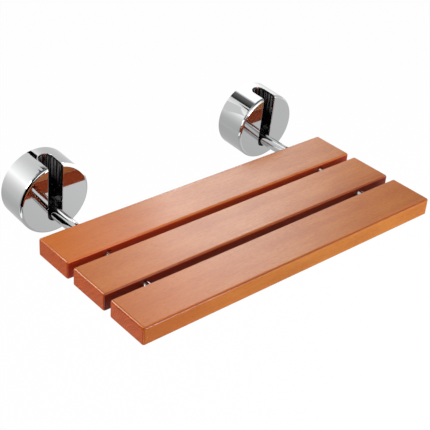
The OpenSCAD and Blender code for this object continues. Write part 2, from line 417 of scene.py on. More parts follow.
class ShapeGraph(Graph):
    """A geometry tree that ends in Realize Instances and Set Material."""

    def __init__(self, name: str, lengths: Sequence[str], counts: Sequence[str] = ()) -> None:
        """Make the tree and its named inputs.

        Args:
            name: the tree's name.
            lengths: names of the inputs that are lengths or angles.
            counts: names of the inputs that are whole numbers.
        """
        super().__init__(bpy.data.node_groups.new(name, "GeometryNodeTree"))
        sockets = self.tree.interface.new_socket
        sockets("Geometry", in_out="INPUT", socket_type="NodeSocketGeometry")
        for length in lengths:
            sockets(length, in_out="INPUT", socket_type="NodeSocketFloat")
        for count in counts:
            sockets(count, in_out="INPUT", socket_type="NodeSocketInt")
        sockets("Material", in_out="INPUT", socket_type="NodeSocketMaterial")
        sockets("Geometry", in_out="OUTPUT", socket_type="NodeSocketGeometry")
        self.given = self.add("NodeGroupInput")

    def size(self, name: str) -> bpy.types.NodeSocket:
        """Return the output that gives a named input."""
        return self.given.outputs[name]

    def half(self, name: str) -> bpy.types.NodeSocket:
        """Return half of a named input."""
        return self.calc("MULTIPLY", self.size(name), 0.5)

    def point(self, x: Feed = 0.0, y: Feed = 0.0, z: Feed = 0.0) -> bpy.types.Node:
        """Make a vector of three values."""
        return self.add("ShaderNodeCombineXYZ", {0: x, 1: y, 2: z})

    def moved(self, part: Feed, x: Feed = 0.0, y: Feed = 0.0, z: Feed = 0.0) -> bpy.types.Node:
        """Shift a geometry."""
        inputs = {"Geometry": part, "Translation": self.point(x, y, z)}
        return self.add("GeometryNodeTransform", inputs)

    def turned(self, part: Feed, turn: Triple) -> bpy.types.Node:
        """Turn a geometry by angles in degrees."""
        angles = tuple(math.radians(a) for a in turn)
        return self.add("GeometryNodeTransform", {"Geometry": part, "Rotation": angles})

    def cylinder(self, sides: Feed, radius: Feed, depth: Feed, low: Feed) -> bpy.types.Node:
        """Stand a cylinder along Z.

        Args:
            sides: number of sides.
            radius: its radius.
            depth: its length.
            low: height of its lower end.

        Returns:
            The node with the placed cylinder.
        """
        made = self.add(
            "GeometryNodeMeshCylinder", {"Vertices": sides, "Radius": radius, "Depth": depth}
        )
        middle = self.calc("MULTIPLY_ADD", depth, 0.5, low)
        return self.moved(made, z=middle)

    def cone(self, sides: Feed, low_r: Feed, high_r: Feed, depth: Feed, low: Feed) -> bpy.types.Node:
        """Stand a cut-off cone along Z.

        Args:
            sides: number of sides.
            low_r: radius at its lower end.
            high_r: radius at its upper end.
            depth: its length.
            low: height of its lower end.

        Returns:
            The node with the placed cone.
        """
        inputs = {"Vertices": sides, "Radius Bottom": low_r, "Radius Top": high_r, "Depth": depth}
        return self.moved(self.add("GeometryNodeMeshCone", inputs), z=low)

    def union(self, *solids: Feed) -> bpy.types.Node:
        """Fuse solids into one."""
        return self.boolean("UNION", solids)

    def common(self, *solids: Feed) -> bpy.types.Node:
        """Keep what solids share."""
        return self.boolean("INTERSECT", solids)

    def cut(self, solid: Feed, *tools: Feed) -> bpy.types.Node:
        """Cut tools out of a solid.

        Args:
            solid: the solid.
            *tools: what is cut out of it.

        Returns:
            The node with what is left.
        """
        made = self.boolean("DIFFERENCE", tools)
        self.feed(made.inputs["Mesh 1"], solid)
        return made

    def boolean(self, operation: str, solids: Sequence[Feed]) -> bpy.types.Node:
        """Add a Mesh Boolean node and link solids to its row of inputs.

        Args:
            operation: the operation's name.
            solids: what the row takes.

        Returns:
            The node.
        """
        made = self.add("GeometryNodeMeshBoolean", operation=operation, solver="EXACT")
        for solid in solids:
            self.feed(made.inputs["Mesh 2"], solid)
        return made

    def in_row(self, copy: Feed, count: Feed, first: Feed, step: Feed) -> bpy.types.Node:
        """Repeat a geometry in a row.

        Args:
            copy: the geometry to repeat.
            count: how many there are.
            first: place of the first.
            step: from one to the next.

        Returns:
            The node with the whole row.
        """
        inputs = {"Count": count, "Start Location": first, "Offset": step}
        row = self.add("GeometryNodeMeshLine", inputs, mode="OFFSET")
        row = self.add("GeometryNodeInstanceOnPoints", {"Points": row, "Instance": copy})
        return self.add("GeometryNodeRealizeInstances", {0: row})

    def at_points(self, copy: Feed, turn: Feed | None = None) -> bpy.types.Node:
        """Put a copy at every point of the given mesh, turned as the mesh says.

        Args:
            copy: the geometry to repeat.
            turn: an extra angle about each copy's own axis.

        Returns:
            The node with the instances.
        """
        told = self.add(
            "GeometryNodeInputNamedAttribute", {"Name": "turn"}, data_type="FLOAT_VECTOR"
        )
        pose = self.add("FunctionNodeEulerToRotation", {0: told}).outputs[0]
        if turn is not None:
            own = self.add("FunctionNodeAxisAngleToRotation", {"Axis": (0, 0, 1), "Angle": turn})
            inputs = {"Rotation": pose, "Rotate By": own}
            pose = self.add("FunctionNodeRotateRotation", inputs, rotation_space="LOCAL").outputs[0]
        inputs = {"Points": self.size("Geometry"), "Instance": copy, "Rotation": pose}
        return self.add("GeometryNodeInstanceOnPoints", inputs)

    def end(self, shape: Feed) -> bpy.types.NodeTree:
        """Close the tree on a shape.

        Args:
            shape: what the tree makes.

        Returns:
            The finished tree.
        """
        real = self.add("GeometryNodeRealizeInstances", {"Geometry": shape})
        inputs = {"Geometry": real, "Material": self.size("Material")}
        dressed = self.add("GeometryNodeSetMaterial", inputs)
        self.add("NodeGroupOutput", {"Geometry": dressed})
        return self.tree


# Meshes


def kept_mesh(name: str, made: bmesh.types.BMesh) -> bpy.types.Mesh:
    """Turn a mesh in the making into a plain one, and free it.

    Args:
        name: the plain mesh's name.
        made: the mesh in the making.

    Returns:
        The plain mesh.
    """
    mesh = bpy.data.meshes.new(name)
    made.to_mesh(mesh)
    made.free()
    return mesh


def new_object(name: str, mesh: bpy.types.Mesh) -> bpy.types.Object:
    """Put a mesh into the scene at the origin.

    Args:
        name: the object's name.
        mesh: its mesh.

    Returns:
        The object.
    """
    made = bpy.data.objects.new(name, mesh)
    bpy.context.scene.collection.objects.link(made)
    return made


def baked(piece: bpy.types.Object) -> None:
    """Replace a piece's mesh by what its modifiers make of it.

    Args:
        piece: the piece, which loses its modifiers.
    """
    graph = bpy.context.evaluated_depsgraph_get()
    mesh = bpy.data.meshes.new_from_object(piece.evaluated_get(graph))
    piece.modifiers.clear()
    old, piece.data = piece.data, mesh
    mesh.name = piece.name
    if old.users == 0:
        bpy.data.meshes.remove(old)


def mirrored(points: Sequence[Triple]) -> list[Triple]:
    """Return points on the other side of x = 0."""
    return [(-x, y, z) for x, y, z in points]


class Skin:
    """A mesh made of rows of points, which are in millimetres from its centre.

    Attributes:
        MERGED: metres within which two of its points become one.
    """

    MERGED = 2e-6

    def __init__(self, centre: Vector) -> None:
        """Start an empty mesh about a centre."""
        self.mesh = bmesh.new()
        self.centre = centre

    def vertices(self, points: Sequence[Triple]) -> list[bmesh.types.BMVert]:
        """Add a row of vertices."""
        return [self.mesh.verts.new((Vector(point) + self.centre) * MM) for point in points]

    def quads(self, rows: Sequence[Sequence[Triple]]) -> None:
        """Cover a grid of points with quads.

        Args:
            rows: the grid's rows.
        """
        grid = [self.vertices(row) for row in rows]
        for low, high in zip(grid, grid[1:]):
            for quad in zip(low, low[1:], high[1:], high):
                self.mesh.faces.new(quad)

    def both_sides(self, rows: Sequence[Sequence[Triple]]) -> None:
        """Cover a grid of points, and its mirror image across the centre."""
        self.quads(rows)
        self.quads([mirrored(row) for row in rows])

    def flat(self, outline: Sequence[Triple]) -> None:
        """Close an outline with one flat face."""
        self.mesh.faces.new(self.vertices(outline)).smooth = False

    def closed(self, name: str) -> bpy.types.Mesh:
        """Merge its doubles, turn its faces outwards and finish it.

        Args:
            name: the mesh's name.

        Returns:
            The mesh in metres.
        """
        bmesh.ops.remove_doubles(self.mesh, verts=self.mesh.verts, dist=self.MERGED)
        bmesh.ops.recalc_face_normals(self.mesh, faces=self.mesh.faces)
        return kept_mesh(name, self.mesh)


def grown(
    name: str, tree: bpy.types.NodeTree, values: dict[str, object], spots: Sequence[Spot]
) -> bpy.types.Object:
    """Run a geometry tree and keep its result as a plain mesh.

    Args:
        name: the piece's name.
        tree: the finished tree.
        values: what its named inputs take.
        spots: places that its instances go to.

    Returns:
        The piece.
    """
    mesh = bpy.data.meshes.new(name)
    mesh.from_pydata([tuple(spot.point) for spot in spots], [], [])
    turns = mesh.attributes.new("turn", "FLOAT_VECTOR", "POINT")
    turns.data.foreach_set("vector", [math.radians(a) for spot in spots for a in spot.turn])
    piece = new_object(name, mesh)
    shaper = piece.modifiers.new("shape", "NODES")
    shaper.node_group = tree
    for item in tree.interface.items_tree:
        if item.in_out == "INPUT" and item.name in values:
            shaper[item.identifier] = values[item.name]
    baked(piece)
    return piece


def eased(piece: bpy.types.Object, angle: float) -> None:
    """Shade a piece smooth but for edges sharper than an angle in degrees."""
    piece.data.shade_smooth()
    piece.data.set_sharp_from_angle(angle=math.radians(angle))


def evened(piece: bpy.types.Object, angle: float = 35.0, weight: int = 80) -> None:
    """Shade a piece smooth, and let its large faces keep their own normal.

    Args:
        piece: the piece, with a plain mesh.
        angle: edges sharper than this, in degrees, stay sharp.
        weight: how much a face's size counts.
    """
    eased(piece, angle)
    keeper = piece.modifiers.new("normals", "WEIGHTED_NORMAL")
    keeper.keep_sharp = True
    keeper.weight = weight
    baked(piece)


def added(piece: bpy.types.Object, finish: Finish, body: Body, nodes: Sequence[str]) -> None:
    """Dress a piece, set it on its body and hide the nodes it stands for.

    Args:
        piece: the piece.
        finish: its finish.
        body: the body it rides on.
        nodes: the nodes it replaces.
    """
    finish.dress(piece)
    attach(piece, body.value)
    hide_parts(*nodes)


def add_repeated(
    name: str, tree: bpy.types.NodeTree, values: dict[str, object], spots: Sequence[Spot],
    finish: Finish, body: Body, nodes: Sequence[str], sharp: float = 30.0,
) -> None:
    """Grow a piece that repeats at spots, shade it and add it.

    Args:
        name: the piece's name.
        tree: the tree that shapes it.
        values: what the tree's named inputs take, but for the material.
        spots: its places.
        finish: its finish.
        body: the body it rides on.
        nodes: the nodes it replaces.
        sharp: edges sharper than this, in degrees, stay sharp.
    """
    piece = grown(name, tree, values | {"Material": finish.material()}, spots)
    eased(piece, sharp)
    added(piece, finish, body, nodes)


# Finishes


@dataclass(frozen=True)
class Finish:
    """A surface finish.

    Attributes:
        name: the material's name.
        slot: a slot name; not used.
    """

    name: str
    slot: str

    def material(self) -> bpy.types.Material:
        """Find the material, or make it at first use.

        Returns:
            The material.
        """
        known = bpy.data.materials.get(self.name)
        if known:
            return known
        made = bpy.data.materials.new(self.name)
        self.paint(ShaderGraph(made))
        return made

    def paint(self, graph: ShaderGraph) -> None:
        """Build the material's nodes."""
        raise NotImplementedError

    def dress(self, piece: bpy.types.Object) -> None:
        """Put the finish on a piece.

        Args:
            piece: a piece, or one of the solids.
        """
        piece.data.materials.clear()
        piece.data.materials.append(self.material())
        LOG.info("%s: %d faces, %s", piece.name, len(piece.data.polygons), self.name)


@dataclass(frozen=True)
class Chrome(Finish):
    """Polished chrome with a faint haze from handling.

    Attributes:
        tint: reflectance facing on.
        haze: noise of the haze.
        haze_range: noise between which it thickens.
        roughness: least and most roughness.
    """

    tint: Colour = (0.55, 0.553, 0.557)
    haze: Noise = Noise((38.0, 38.0, 38.0), 3.0, 0.6)
    haze_range: Pair = (0.35, 0.7)
    roughness: Pair = (0.025, 0.06)

    def paint(self, graph: ShaderGraph) -> None:
        """Build the material's nodes.

        Args:
            graph: the material's tree.
        """
        haze = graph.noise(self.haze, graph.place)
        graph.surface(
            Base_Color=opaque(self.tint),
            Metallic=1.0,
            Roughness=graph.spread(haze, *self.haze_range, *self.roughness),
        )


@dataclass(frozen=True)
class GlossBlack(Finish):
    """Black enamel with a painted grey sheen in upright streaks near the slot's mouth, and grey specks.

    Attributes:
        enamel: colour of the enamel.
        sheen_grey: grey of the painted sheen streaks and of the specks.
        streaks: noise of the streaks.
        streak_range: noise between which a painted sheen streak shows.
        mouth: heights in metres between which the streaks come in.
        specks: noise of the specks.
        speck_range: noise between which a speck shows.
        roughness: roughness of the enamel and of the painted sheen streaks and specks.
        relief: strength and depth in metres of the streaks' bump.
        gloss: level of the reflection on it.
    """

    enamel: Colour = (0.0035, 0.0035, 0.004)
    sheen_grey: Colour = (0.2, 0.2, 0.2)
    streaks: Noise = Noise((330.0, 330.0, 19.8), 3.0, 0.75)
    streak_range: Pair = (0.44, 0.66)
    mouth: Pair = (0.014, 0.026)
    specks: Noise = Noise((380.0, 380.0, 380.0), 0.0)
    speck_range: Pair = (0.8, 0.84)
    roughness: Pair = (0.08, 0.3)
    relief: Pair = (0.2, 0.0004)
    gloss: float = 0.3

    def paint(self, graph: ShaderGraph) -> None:
        """Build the material's nodes.

        Args:
            graph: the material's tree.
        """
        streaks, specks = graph.noises((self.streaks, self.specks), graph.place)
        near_mouth = graph.spread(graph.parts(graph.place)[2], *self.mouth)
        # painted sheen: grey streaks that stand in for reflections, only near the slot's mouth, plus grey
        # specks
        sheen_and_specks = graph.calc("MULTIPLY", graph.spread(streaks, *self.streak_range), near_mouth)
        sheen_and_specks = graph.calc("MAXIMUM", sheen_and_specks, graph.spread(specks, *self.speck_range))
        graph.surface(
            Base_Color=graph.blend(sheen_and_specks, opaque(self.enamel), opaque(self.sheen_grey)),
            Roughness=graph.spread(sheen_and_specks, 0.0, 1.0, *self.roughness),
            Specular_IOR_Level=self.gloss,
            Normal=graph.bump(streaks, *self.relief),
        )


@dataclass(frozen=True)
class Steel(Finish):
    """Bare, plated or blackened steel with the marks of its making.

    Attributes:
        tint: reflectance facing on.
        roughness: least and most roughness.
        marks: noise of the tool marks.
        mark_range: noise between which they roughen.
        patches: noise of the duller patches.
        patch_range: noise between which they come in.
        dullness: what is left of the tint there.
        relief: strength and depth in metres of the marks' bump.
    """

    tint: Colour = (0.55, 0.55, 0.56)
    roughness: Pair = (0.25, 0.42)
    marks: Noise = Noise((54.0, 900.0, 900.0))
    mark_range: Pair = (0.3, 0.7)
    patches: Noise = Noise((60.0, 60.0, 60.0), 3.0, 0.6)
    patch_range: Pair = (0.35, 0.7)
    dullness: float = 0.72
    relief: Pair = (0.12, 0.0002)

    def paint(self, graph: ShaderGraph) -> None:
        """Build the material's nodes.

        Args:
            graph: the material's tree.
        """
        marks, patches = graph.noises((self.marks, self.patches), graph.place)
        dull = tuple(self.dullness * part for part in self.tint)
        in_patch = graph.spread(patches, *self.patch_range)
        graph.surface(
            Base_Color=graph.blend(in_patch, opaque(self.tint), opaque(dull)),
            Metallic=1.0,
            Roughness=graph.spread(marks, *self.mark_range, *self.roughness),
            Normal=graph.bump(marks, *self.relief),
        )


@dataclass(frozen=True)
class Nylon(Finish):
    """Moulded black nylon, faintly mottled.

    Attributes:
        tones: its colours in the hollows and on the crests of the grain, by the noise there.
        grain: noise of the grain.
        grain_range: noise between which it roughens.
        roughness: least and most roughness.
        relief: strength and depth in metres of the grain's bump.
    """

    tones: Tones = ((0.35, (0.006, 0.006, 0.0065)), (0.7, (0.016, 0.016, 0.017)))
    grain: Noise = Noise((1800.0, 1800.0, 1800.0))
    grain_range: Pair = (0.3, 0.7)
    roughness: Pair = (0.42, 0.6)
    relief: Pair = (0.2, 0.0001)

    def paint(self, graph: ShaderGraph) -> None:
        """Build the material's nodes.

        Args:
            graph: the material's tree.
        """
        grain = graph.noise(self.grain, graph.place)
        graph.surface(
            Base_Color=graph.ramp(grain, self.tones),
            Roughness=graph.spread(grain, *self.grain_range, *self.roughness),
            Normal=graph.bump(grain, *self.relief),
        )


@dataclass(frozen=True)
class Faces:
    """How the sides of a slat are told apart, by parts of the direction that they face.

    Attributes:
        flat: largest part between which a rounded edge turns into a flat face.
        end: part along the slat between which an end begins.
        back: part to the wall between which the back begins.
        front: forward part, less upright times the upright one, between which the front begins.
        upright: how much the upright part counts against the front.
        arris: forward part between which a rounded edge counts as one of the front.
        arris_up: upright part between which it does.
    """

    flat: Pair = (0.82, 0.98)
    end: Pair = (0.55, 0.9)
    back: Pair = (0.6, 0.95)
    front: Pair = (0.3, 0.8)
    upright: float = 0.8
    arris: Pair = (0.15, 0.5)
    arris_up: Pair = (0.1, 0.4)


@dataclass(frozen=True)
class StainedWood(Finish):
    """Orange-brown stained wood under satin lacquer, its grain along the slat, with painted shade on its
    back and front sides.

    Attributes:
        centre: the slat's centre in metres.
        tilt: the slat's turn about X in radians.
        seed: which piece of the plank it is.
        pith: where the growth rings centre, in metres across and up.
        left_light_share: how much painted light brightens its left end to orange.
        front: what is left of the colour on the front side, as painted shade and light.
        arris: what is left of it on the rounded edges.
        back: what is left of it on the side to the wall, as painted shade.
        front_left_shade: what is left of the front side's colour at its left end, as painted shade.
        front_shade_fade: places along the slat, in metres, between which front_left_shade fades.
        tones: dark, middle and light colours of the long grain, and their places in the tone.
        left_light: colour of the painted light at the left end.
        left_light_fade: places along the slat, in metres, between which it fades.
        pore: colour of an open pore.
        pore_range: noise between which a pore opens.
        pore_depth: how much of that colour it takes.
        ends: dark and light colours of the end grain, and their places in the tone.
        seed_shift: how far a seed of 1 moves the slat in the plank, in metres.
        slow: noise that bends the grain.
        sway: how far it bends it, in metres along each axis.
        bands, streaks, clouds, mottle: noises that the long grain's tone adds up.
        pores: noise of the pores.
        ring_pitch: half the distance between growth rings, in metres.
        ring_share: their share in the tone.
        ring_wobble: how far they waver, in metres.
        wobble, speckle, saw: noises of the end grain.
        saw_turn: how the saw marks lie, in radians about the slat.
        grain_range: heights of the grain between which the roughness changes.
        satin: roughness in the hollows and on the crests.
        worn_edge: how much smoother the lacquer is on the rounded edges.
        relief: strength and depth in metres of the grain's bump.
        gloss: level of the reflection on the lacquer.
        coat_roughness: roughness of the thicker lacquer on the rounded edges.
        faces: how the slat's sides are told apart.
    """

    centre: Triple = (0.0, 0.0, 0.0)
    tilt: float = 0.0
    seed: float = 0.0
    pith: Pair = (0.012, -0.055)
    left_light_share: float = 0.5
    front: Colour = (1.0, 1.0, 1.0)
    arris: Colour = (1.0, 1.0, 1.0)
    # painted shade: the side to the wall darker and redder
    back: Colour = (1.05, 0.53, 0.62)
    front_left_shade: Colour = (0.78, 0.68, 1.0)
    front_shade_fade: Pair = (-0.26, -0.03)
    tones: Tones = (
        (0.36, (0.32, 0.078, 0.011)),
        (0.5, (0.4, 0.117, 0.02)),
        (0.64, (0.48, 0.163, 0.034)),
    )
    left_light: Colour = (0.62, 0.15, 0.014)
    left_light_fade: Pair = (-0.24, 0.02)
    pore: Colour = (0.17, 0.034, 0.009)
    pore_range: Pair = (0.64, 0.72)
    pore_depth: float = 0.45
    ends: Tones = ((0.3, (0.32, 0.042, 0.003)), (0.78, (0.52, 0.088, 0.007)))
    seed_shift: Triple = (1.37, 0.41, 0.73)
    slow: Noise = Noise((3.2, 16.0, 16.0), 2.0)
    sway: Triple = (0.0, 0.016, 0.016)
    bands: Noise = Noise((1.5, 46.0, 46.0), 3.0, 0.6, 0.3)
    streaks: Noise = Noise((9.0, 520.0, 520.0), 3.0, 0.65, 0.26)
    clouds: Noise = Noise((11.0, 24.0, 24.0), 3.0, 0.55, 0.28)
    mottle: Noise = Noise((160.0, 420.0, 420.0), 2.0, 0.6, 0.22)
    pores: Noise = Noise((130.0, 1700.0, 1700.0), 1.0)
    ring_pitch: float = 0.0017
    ring_share: float = 0.3
    ring_wobble: float = 0.006
    wobble: Noise = Noise((55.0, 55.0, 55.0), 3.0, 0.6)
    speckle: Noise = Noise((950.0, 950.0, 950.0), 2.0, 0.7, 0.35)
    saw: Noise = Noise((1.0, 45.0, 360.0), 1.0, share=0.5)
    saw_turn: float = 0.75
    grain_range: Pair = (0.2, 0.8)
    satin: Pair = (0.32, 0.26)
    worn_edge: float = 0.1
    relief: Pair = (0.14, 0.0003)
    gloss: float = 0.12
    coat_roughness: float = 0.12
    faces: Faces = Faces()

    def paint(self, graph: ShaderGraph) -> None:
        """Build the material's nodes.

        Args:
            graph: the material's tree.
        """
        turn = {"Vector": graph.place, "Location": self.centre, "Rotation": (self.tilt, 0.0, 0.0)}
        slat = graph.add("ShaderNodeMapping", turn, vector_type="TEXTURE")
        along = graph.parts(slat)[0]
        plank = graph.vector("ADD", slat, tuple(self.seed * shift for shift in self.seed_shift))
        long_grain, height = self.long_grain(graph, plank, along)
        x, y, z = (graph.calc("ABSOLUTE", part) for part in graph.parts(graph.facing))
        most = graph.calc("MAXIMUM", graph.calc("MAXIMUM", x, y), z)
        rounding = graph.spread(most, *self.faces.flat, 1.0, 0.0)
        at_end = graph.spread(x, *self.faces.end)
        colour = graph.blend(at_end, long_grain, self.end_grain(graph, slat, plank))
        satin = graph.spread(height, *self.grain_range, *self.satin)
        graph.surface(
            Base_Color=self.shaded_sides(graph, colour, along, rounding, z),
            Roughness=graph.calc("MULTIPLY_ADD", rounding, -self.worn_edge, satin),
            Specular_IOR_Level=self.gloss,
            Coat_Weight=rounding,
            Coat_Roughness=self.coat_roughness,
            Normal=graph.bump(height, *self.relief),
        )

    def shaded_sides(
        self, graph: ShaderGraph, colour: Feed, along: Feed, rounding: Feed, upright: Feed
    ) -> bpy.types.NodeSocket:
        """Paint shade on the sides that face the wall and the front, and darken the rounded front edges.

        Args:
            graph: the material's tree.
            colour: the wood's colour.
            along: place along the slat.
            rounding: 1 on a rounded edge, 0 on a flat face.
            upright: how far the surface faces up or down.

        Returns:
            The colour with the painted shade.
        """
        to_wall = graph.parts(graph.facing)[1]
        forward = graph.calc("MULTIPLY", to_wall, -1.0)
        on_back = graph.spread(to_wall, *self.faces.back)
        frontal = graph.calc("MULTIPLY_ADD", upright, -self.faces.upright, forward)
        on_front = graph.spread(frontal, *self.faces.front)
        # painted shade: the front side darker towards its left end
        shaded_left = graph.calc("MULTIPLY", on_front, graph.spread(along, *self.front_shade_fade, 1.0, 0.0))
        on_arris = graph.calc("MULTIPLY", rounding, graph.spread(forward, *self.faces.arris))
        on_arris = graph.calc("MULTIPLY", on_arris, graph.spread(upright, *self.faces.arris_up))
        # painted shade on the back, the front and the front's left end; the rounded front edges darker
        for share, left in (
            (on_back, self.back),
            (on_front, self.front),
            (shaded_left, self.front_left_shade),
            (on_arris, self.arris),
        ):
            colour = graph.blend(share, colour, opaque(left), "MULTIPLY")
        return colour

    def long_grain(
        self, graph: ShaderGraph, plank: Feed, along: Feed
    ) -> tuple[bpy.types.NodeSocket, bpy.types.NodeSocket]:
        """Colour the faces along the grain, with painted light at the left end.

        Args:
            graph: the material's tree.
            plank: coordinates in the plank.
            along: place along the slat.

        Returns:
            The colour and the height for the bump.
        """
        slow = graph.noise(self.slow, plank).outputs[1]
        sway = graph.vector("MULTIPLY", graph.vector("SUBTRACT", slow, (0.5, 0.5, 0.5)), self.sway)
        bent = graph.vector("ADD", plank, sway)
        layers = (self.bands, self.streaks, self.clouds, self.mottle)
        values = graph.noises(layers, bent)
        tone = graph.total((value, layer.share) for value, layer in zip(values, layers))
        # painted light: the left end brighter and more orange
        left_light = graph.spread(along, *self.left_light_fade, self.left_light_share, 0.0)
        colour = graph.blend(left_light, graph.ramp(tone, self.tones), opaque(self.left_light))
        pores = graph.noise(self.pores, bent)
        pitted = graph.spread(pores, *self.pore_range, 0.0, self.pore_depth)
        colour = graph.blend(pitted, colour, opaque(self.pore))
        return colour, graph.calc("SUBTRACT", values[1], pitted)

    def end_grain(self, graph: ShaderGraph, slat: Feed, plank: Feed) -> bpy.types.NodeSocket:
        """Colour the slat's ends with growth rings, pores and saw marks.

        Args:
            graph: the material's tree.
            slat: coordinates in the slat.
            plank: coordinates in the plank.

        Returns:
            The colour.
        """
        turn = {"Vector": plank, "Rotation": (self.saw_turn, 0.0, 0.0)}
        sawn = graph.noise(self.saw, graph.add("ShaderNodeMapping", turn))
        wobble, speckle = graph.noises((self.wobble, self.speckle), plank)
        across = graph.vector("SUBTRACT", slat, (0.0, *self.pith))
        flat = graph.vector("MULTIPLY", across, (0.0, 1.0, 1.0))
        reach = graph.vector("LENGTH", flat).outputs["Value"]
        reach = graph.calc("MULTIPLY_ADD", wobble, self.ring_wobble, reach)
        ring = graph.calc("DIVIDE", graph.calc("PINGPONG", reach, self.ring_pitch), self.ring_pitch)
        tone = graph.total(
            [(ring, self.ring_share), (speckle, self.speckle.share), (sawn, self.saw.share)]
        )
        return graph.ramp(tone, self.ends)


# Sub-assemblies


class Stretch(Enum):
    """A stretch of the slot's rim, followed from the wall over the edge to its foot."""

    REAR = "rear"
    SIDE = "side"
    FACE = "face"
    FOOT = "foot"


@dataclass(frozen=True)
class RimPlace:
    """A place along the slot's rim.

    Attributes:
        stretch: which stretch it is on.
        at: degrees round the rear or the foot, a station on the side, a share down the face.
    """

    stretch: Stretch
    at: float


@dataclass(frozen=True)
class Housing:
    """A bracket's round chromed housing, open to the wall and along its slot.

    A station is a place on the side, 0 to 1 from the wall to the edge, or on the
    rounded edge, 1 to 2. Points have x from the housing's middle.

    Attributes:
        sizes: the sizes it shares.
        outer_r: its radius.
        depth: from the wall to its face.
        wall: thickness of its side and face.
        edge_r: rounding between side and face.
        rim_r: rounding along the slot's rim.
        inner_rim_r: rounding of the rim inside.
        patch_half: half-width of the strip meshed square to the slot.
        patch_corner: degrees round the slot's rear at which the strip's corner lies.
        patch_shares: where the strip has its lines, from the rim to its border.
        side_shares: where the straight side has its lines, from the slot's rear to the edge.
        face_shares: where the face has its lines, from the edge to the slot's foot.
        arc_steps: steps in a quarter turn of the slot's ends.
        edge_steps: steps in the rounded edge.
        rim_steps: steps in the rim's rounding, outside and inside.
        round_steps: steps round the housing from side to side of the strip.
        hole_r: radius of the grub screws' holes.
        hole_back: their distance from the wall.
        hole_angles: where they are, in degrees from +X.
        finish: its finish.
    """

    sizes: SeatSizes = SeatSizes()
    outer_r: float = 50.0
    depth: float = 47.0
    wall: float = 3.0
    edge_r: float = 4.0
    rim_r: float = 0.7
    inner_rim_r: float = 0.6
    patch_half: float = 16.0
    patch_corner: float = 45.0
    patch_shares: tuple[float, ...] = (0.09, 0.36, 0.68, 1.0)
    side_shares: tuple[float, ...] = (0.0, 0.3, 0.6, 0.85, 0.97)
    face_shares: tuple[float, ...] = (0.0, 0.03, 0.2, 0.4, 0.6, 0.8, 1.0)
    arc_steps: int = 12
    edge_steps: int = 10
    rim_steps: tuple[int, int] = (6, 3)
    round_steps: int = 132
    hole_r: float = 2.05
    hole_back: float = 3.0
    hole_angles: Pair = (-60.0, -120.0)
    finish: Finish = Chrome("housing_polish", "housing_chrome")

    @property
    def straight(self) -> float:
        """Return the length of the side from the wall to the rounded edge."""
        return self.depth - self.edge_r

    @property
    def rear_station(self) -> float:
        """Return the station at which the slot's straight sides start."""
        return self.sizes.pivot_back / self.straight

    def profile(self, station: float, w: float) -> Pair:
        """Find the radius and y on the side and the rounded edge.

        Args:
            station: the place along them.
            w: depth below the outer skin.

        Returns:
            The radius from the axis, and y.
        """
        if station <= 1.0:
            return self.outer_r - w, -self.straight * station
        turn = (station - 1.0) * math.pi / 2
        left = self.edge_r - w
        radius = self.outer_r - self.edge_r + left * math.cos(turn)
        return radius, -self.straight - left * math.sin(turn)

    def skin_point(self, x: float, station: float, w: float) -> Triple:
        """Return the point of the skin over x at a station and depth."""
        radius, y = self.profile(station, w)
        return x, y, math.sqrt(radius * radius - x * x)

    def arc(self, stretch: Stretch) -> list[RimPlace]:
        """Return the places round the slot's rear or its foot."""
        return [RimPlace(stretch, a) for a in np.linspace(0.0, 90.0, self.arc_steps + 1)]

    def side_places(self) -> list[RimPlace]:
        """Find the places along the slot's straight side and over the edge.

        Returns:
            The places from the slot's rear outwards.
        """
        start = self.rear_station
        stations = [start + (1.0 - start) * share for share in self.side_shares]
        stations += list(np.linspace(1.0, 2.0, self.edge_steps + 1))
        return [RimPlace(Stretch.SIDE, station) for station in stations]

    def face_places(self) -> list[RimPlace]:
        """Return the places down the face and round the slot's foot."""
        down = [RimPlace(Stretch.FACE, share) for share in self.face_shares]
        return down + self.arc(Stretch.FOOT)[1:]

    def rim_rows(self) -> list[Pair]:
        """Round the slot's rim from the outer to the inner skin.

        Returns:
            Its rows, each an offset from the slot's wall and a depth.
        """
        outer, inner = (np.radians(np.linspace(0.0, 90.0, steps + 1)) for steps in self.rim_steps)
        r, inner_r = self.rim_r, self.inner_rim_r
        rows = [(r * (1 - math.sin(a)), r * (1 - math.cos(a))) for a in outer]
        rows += [(inner_r * (1 - math.cos(a)), self.wall - inner_r * (1 - math.sin(a))) for a in inner]
        return rows

    def rim_point(self, place: RimPlace, u: float, w: float) -> Triple:
        """Find a point beside the slot's rim.

        Args:
            place: the place along the rim.
            u: distance from the slot's wall.
            w: depth below the outer skin.

        Returns:
            The point on the right side of the slot.
        """
        reach = self.sizes.slot_r + u
        if place.stretch is Stretch.SIDE:
            return self.skin_point(reach, place.at, w)
        if place.stretch is Stretch.FACE:
            inner = self.outer_r - self.edge_r
            top = math.sqrt(inner * inner - reach * reach)
            return reach, -self.depth + w, top + (-self.sizes.pivot_drop - top) * place.at
        turn = math.radians(place.at)
        if place.stretch is Stretch.REAR:
            y = -self.sizes.pivot_back + reach * math.cos(turn)
            return self.skin_point(reach * math.sin(turn), -y / self.straight, w)
        z = -self.sizes.pivot_drop - reach * math.sin(turn)
        return reach * math.cos(turn), -self.depth + w, z

    def patch_end(self, place: RimPlace, w: float) -> Triple:
        """Find where a line of the strip ends, away from the slot.

        Args:
            place: the place along the rim that the line starts from.
            w: depth below the outer skin.

        Returns:
            The point.
        """
        if place.stretch is Stretch.SIDE:
            return self.skin_point(self.patch_half, place.at, w)
        if place.at <= self.patch_corner:
            return self.skin_point(self.patch_half * place.at / self.patch_corner, 0.0, w)
        return self.skin_point(self.patch_half, self.station_beside(place), w)

    def station_beside(self, place: RimPlace) -> float:
        """Return the strip's station that a place round the slot's rear leads to."""
        share = (place.at - self.patch_corner) / (90.0 - self.patch_corner)
        return share * self.rear_station

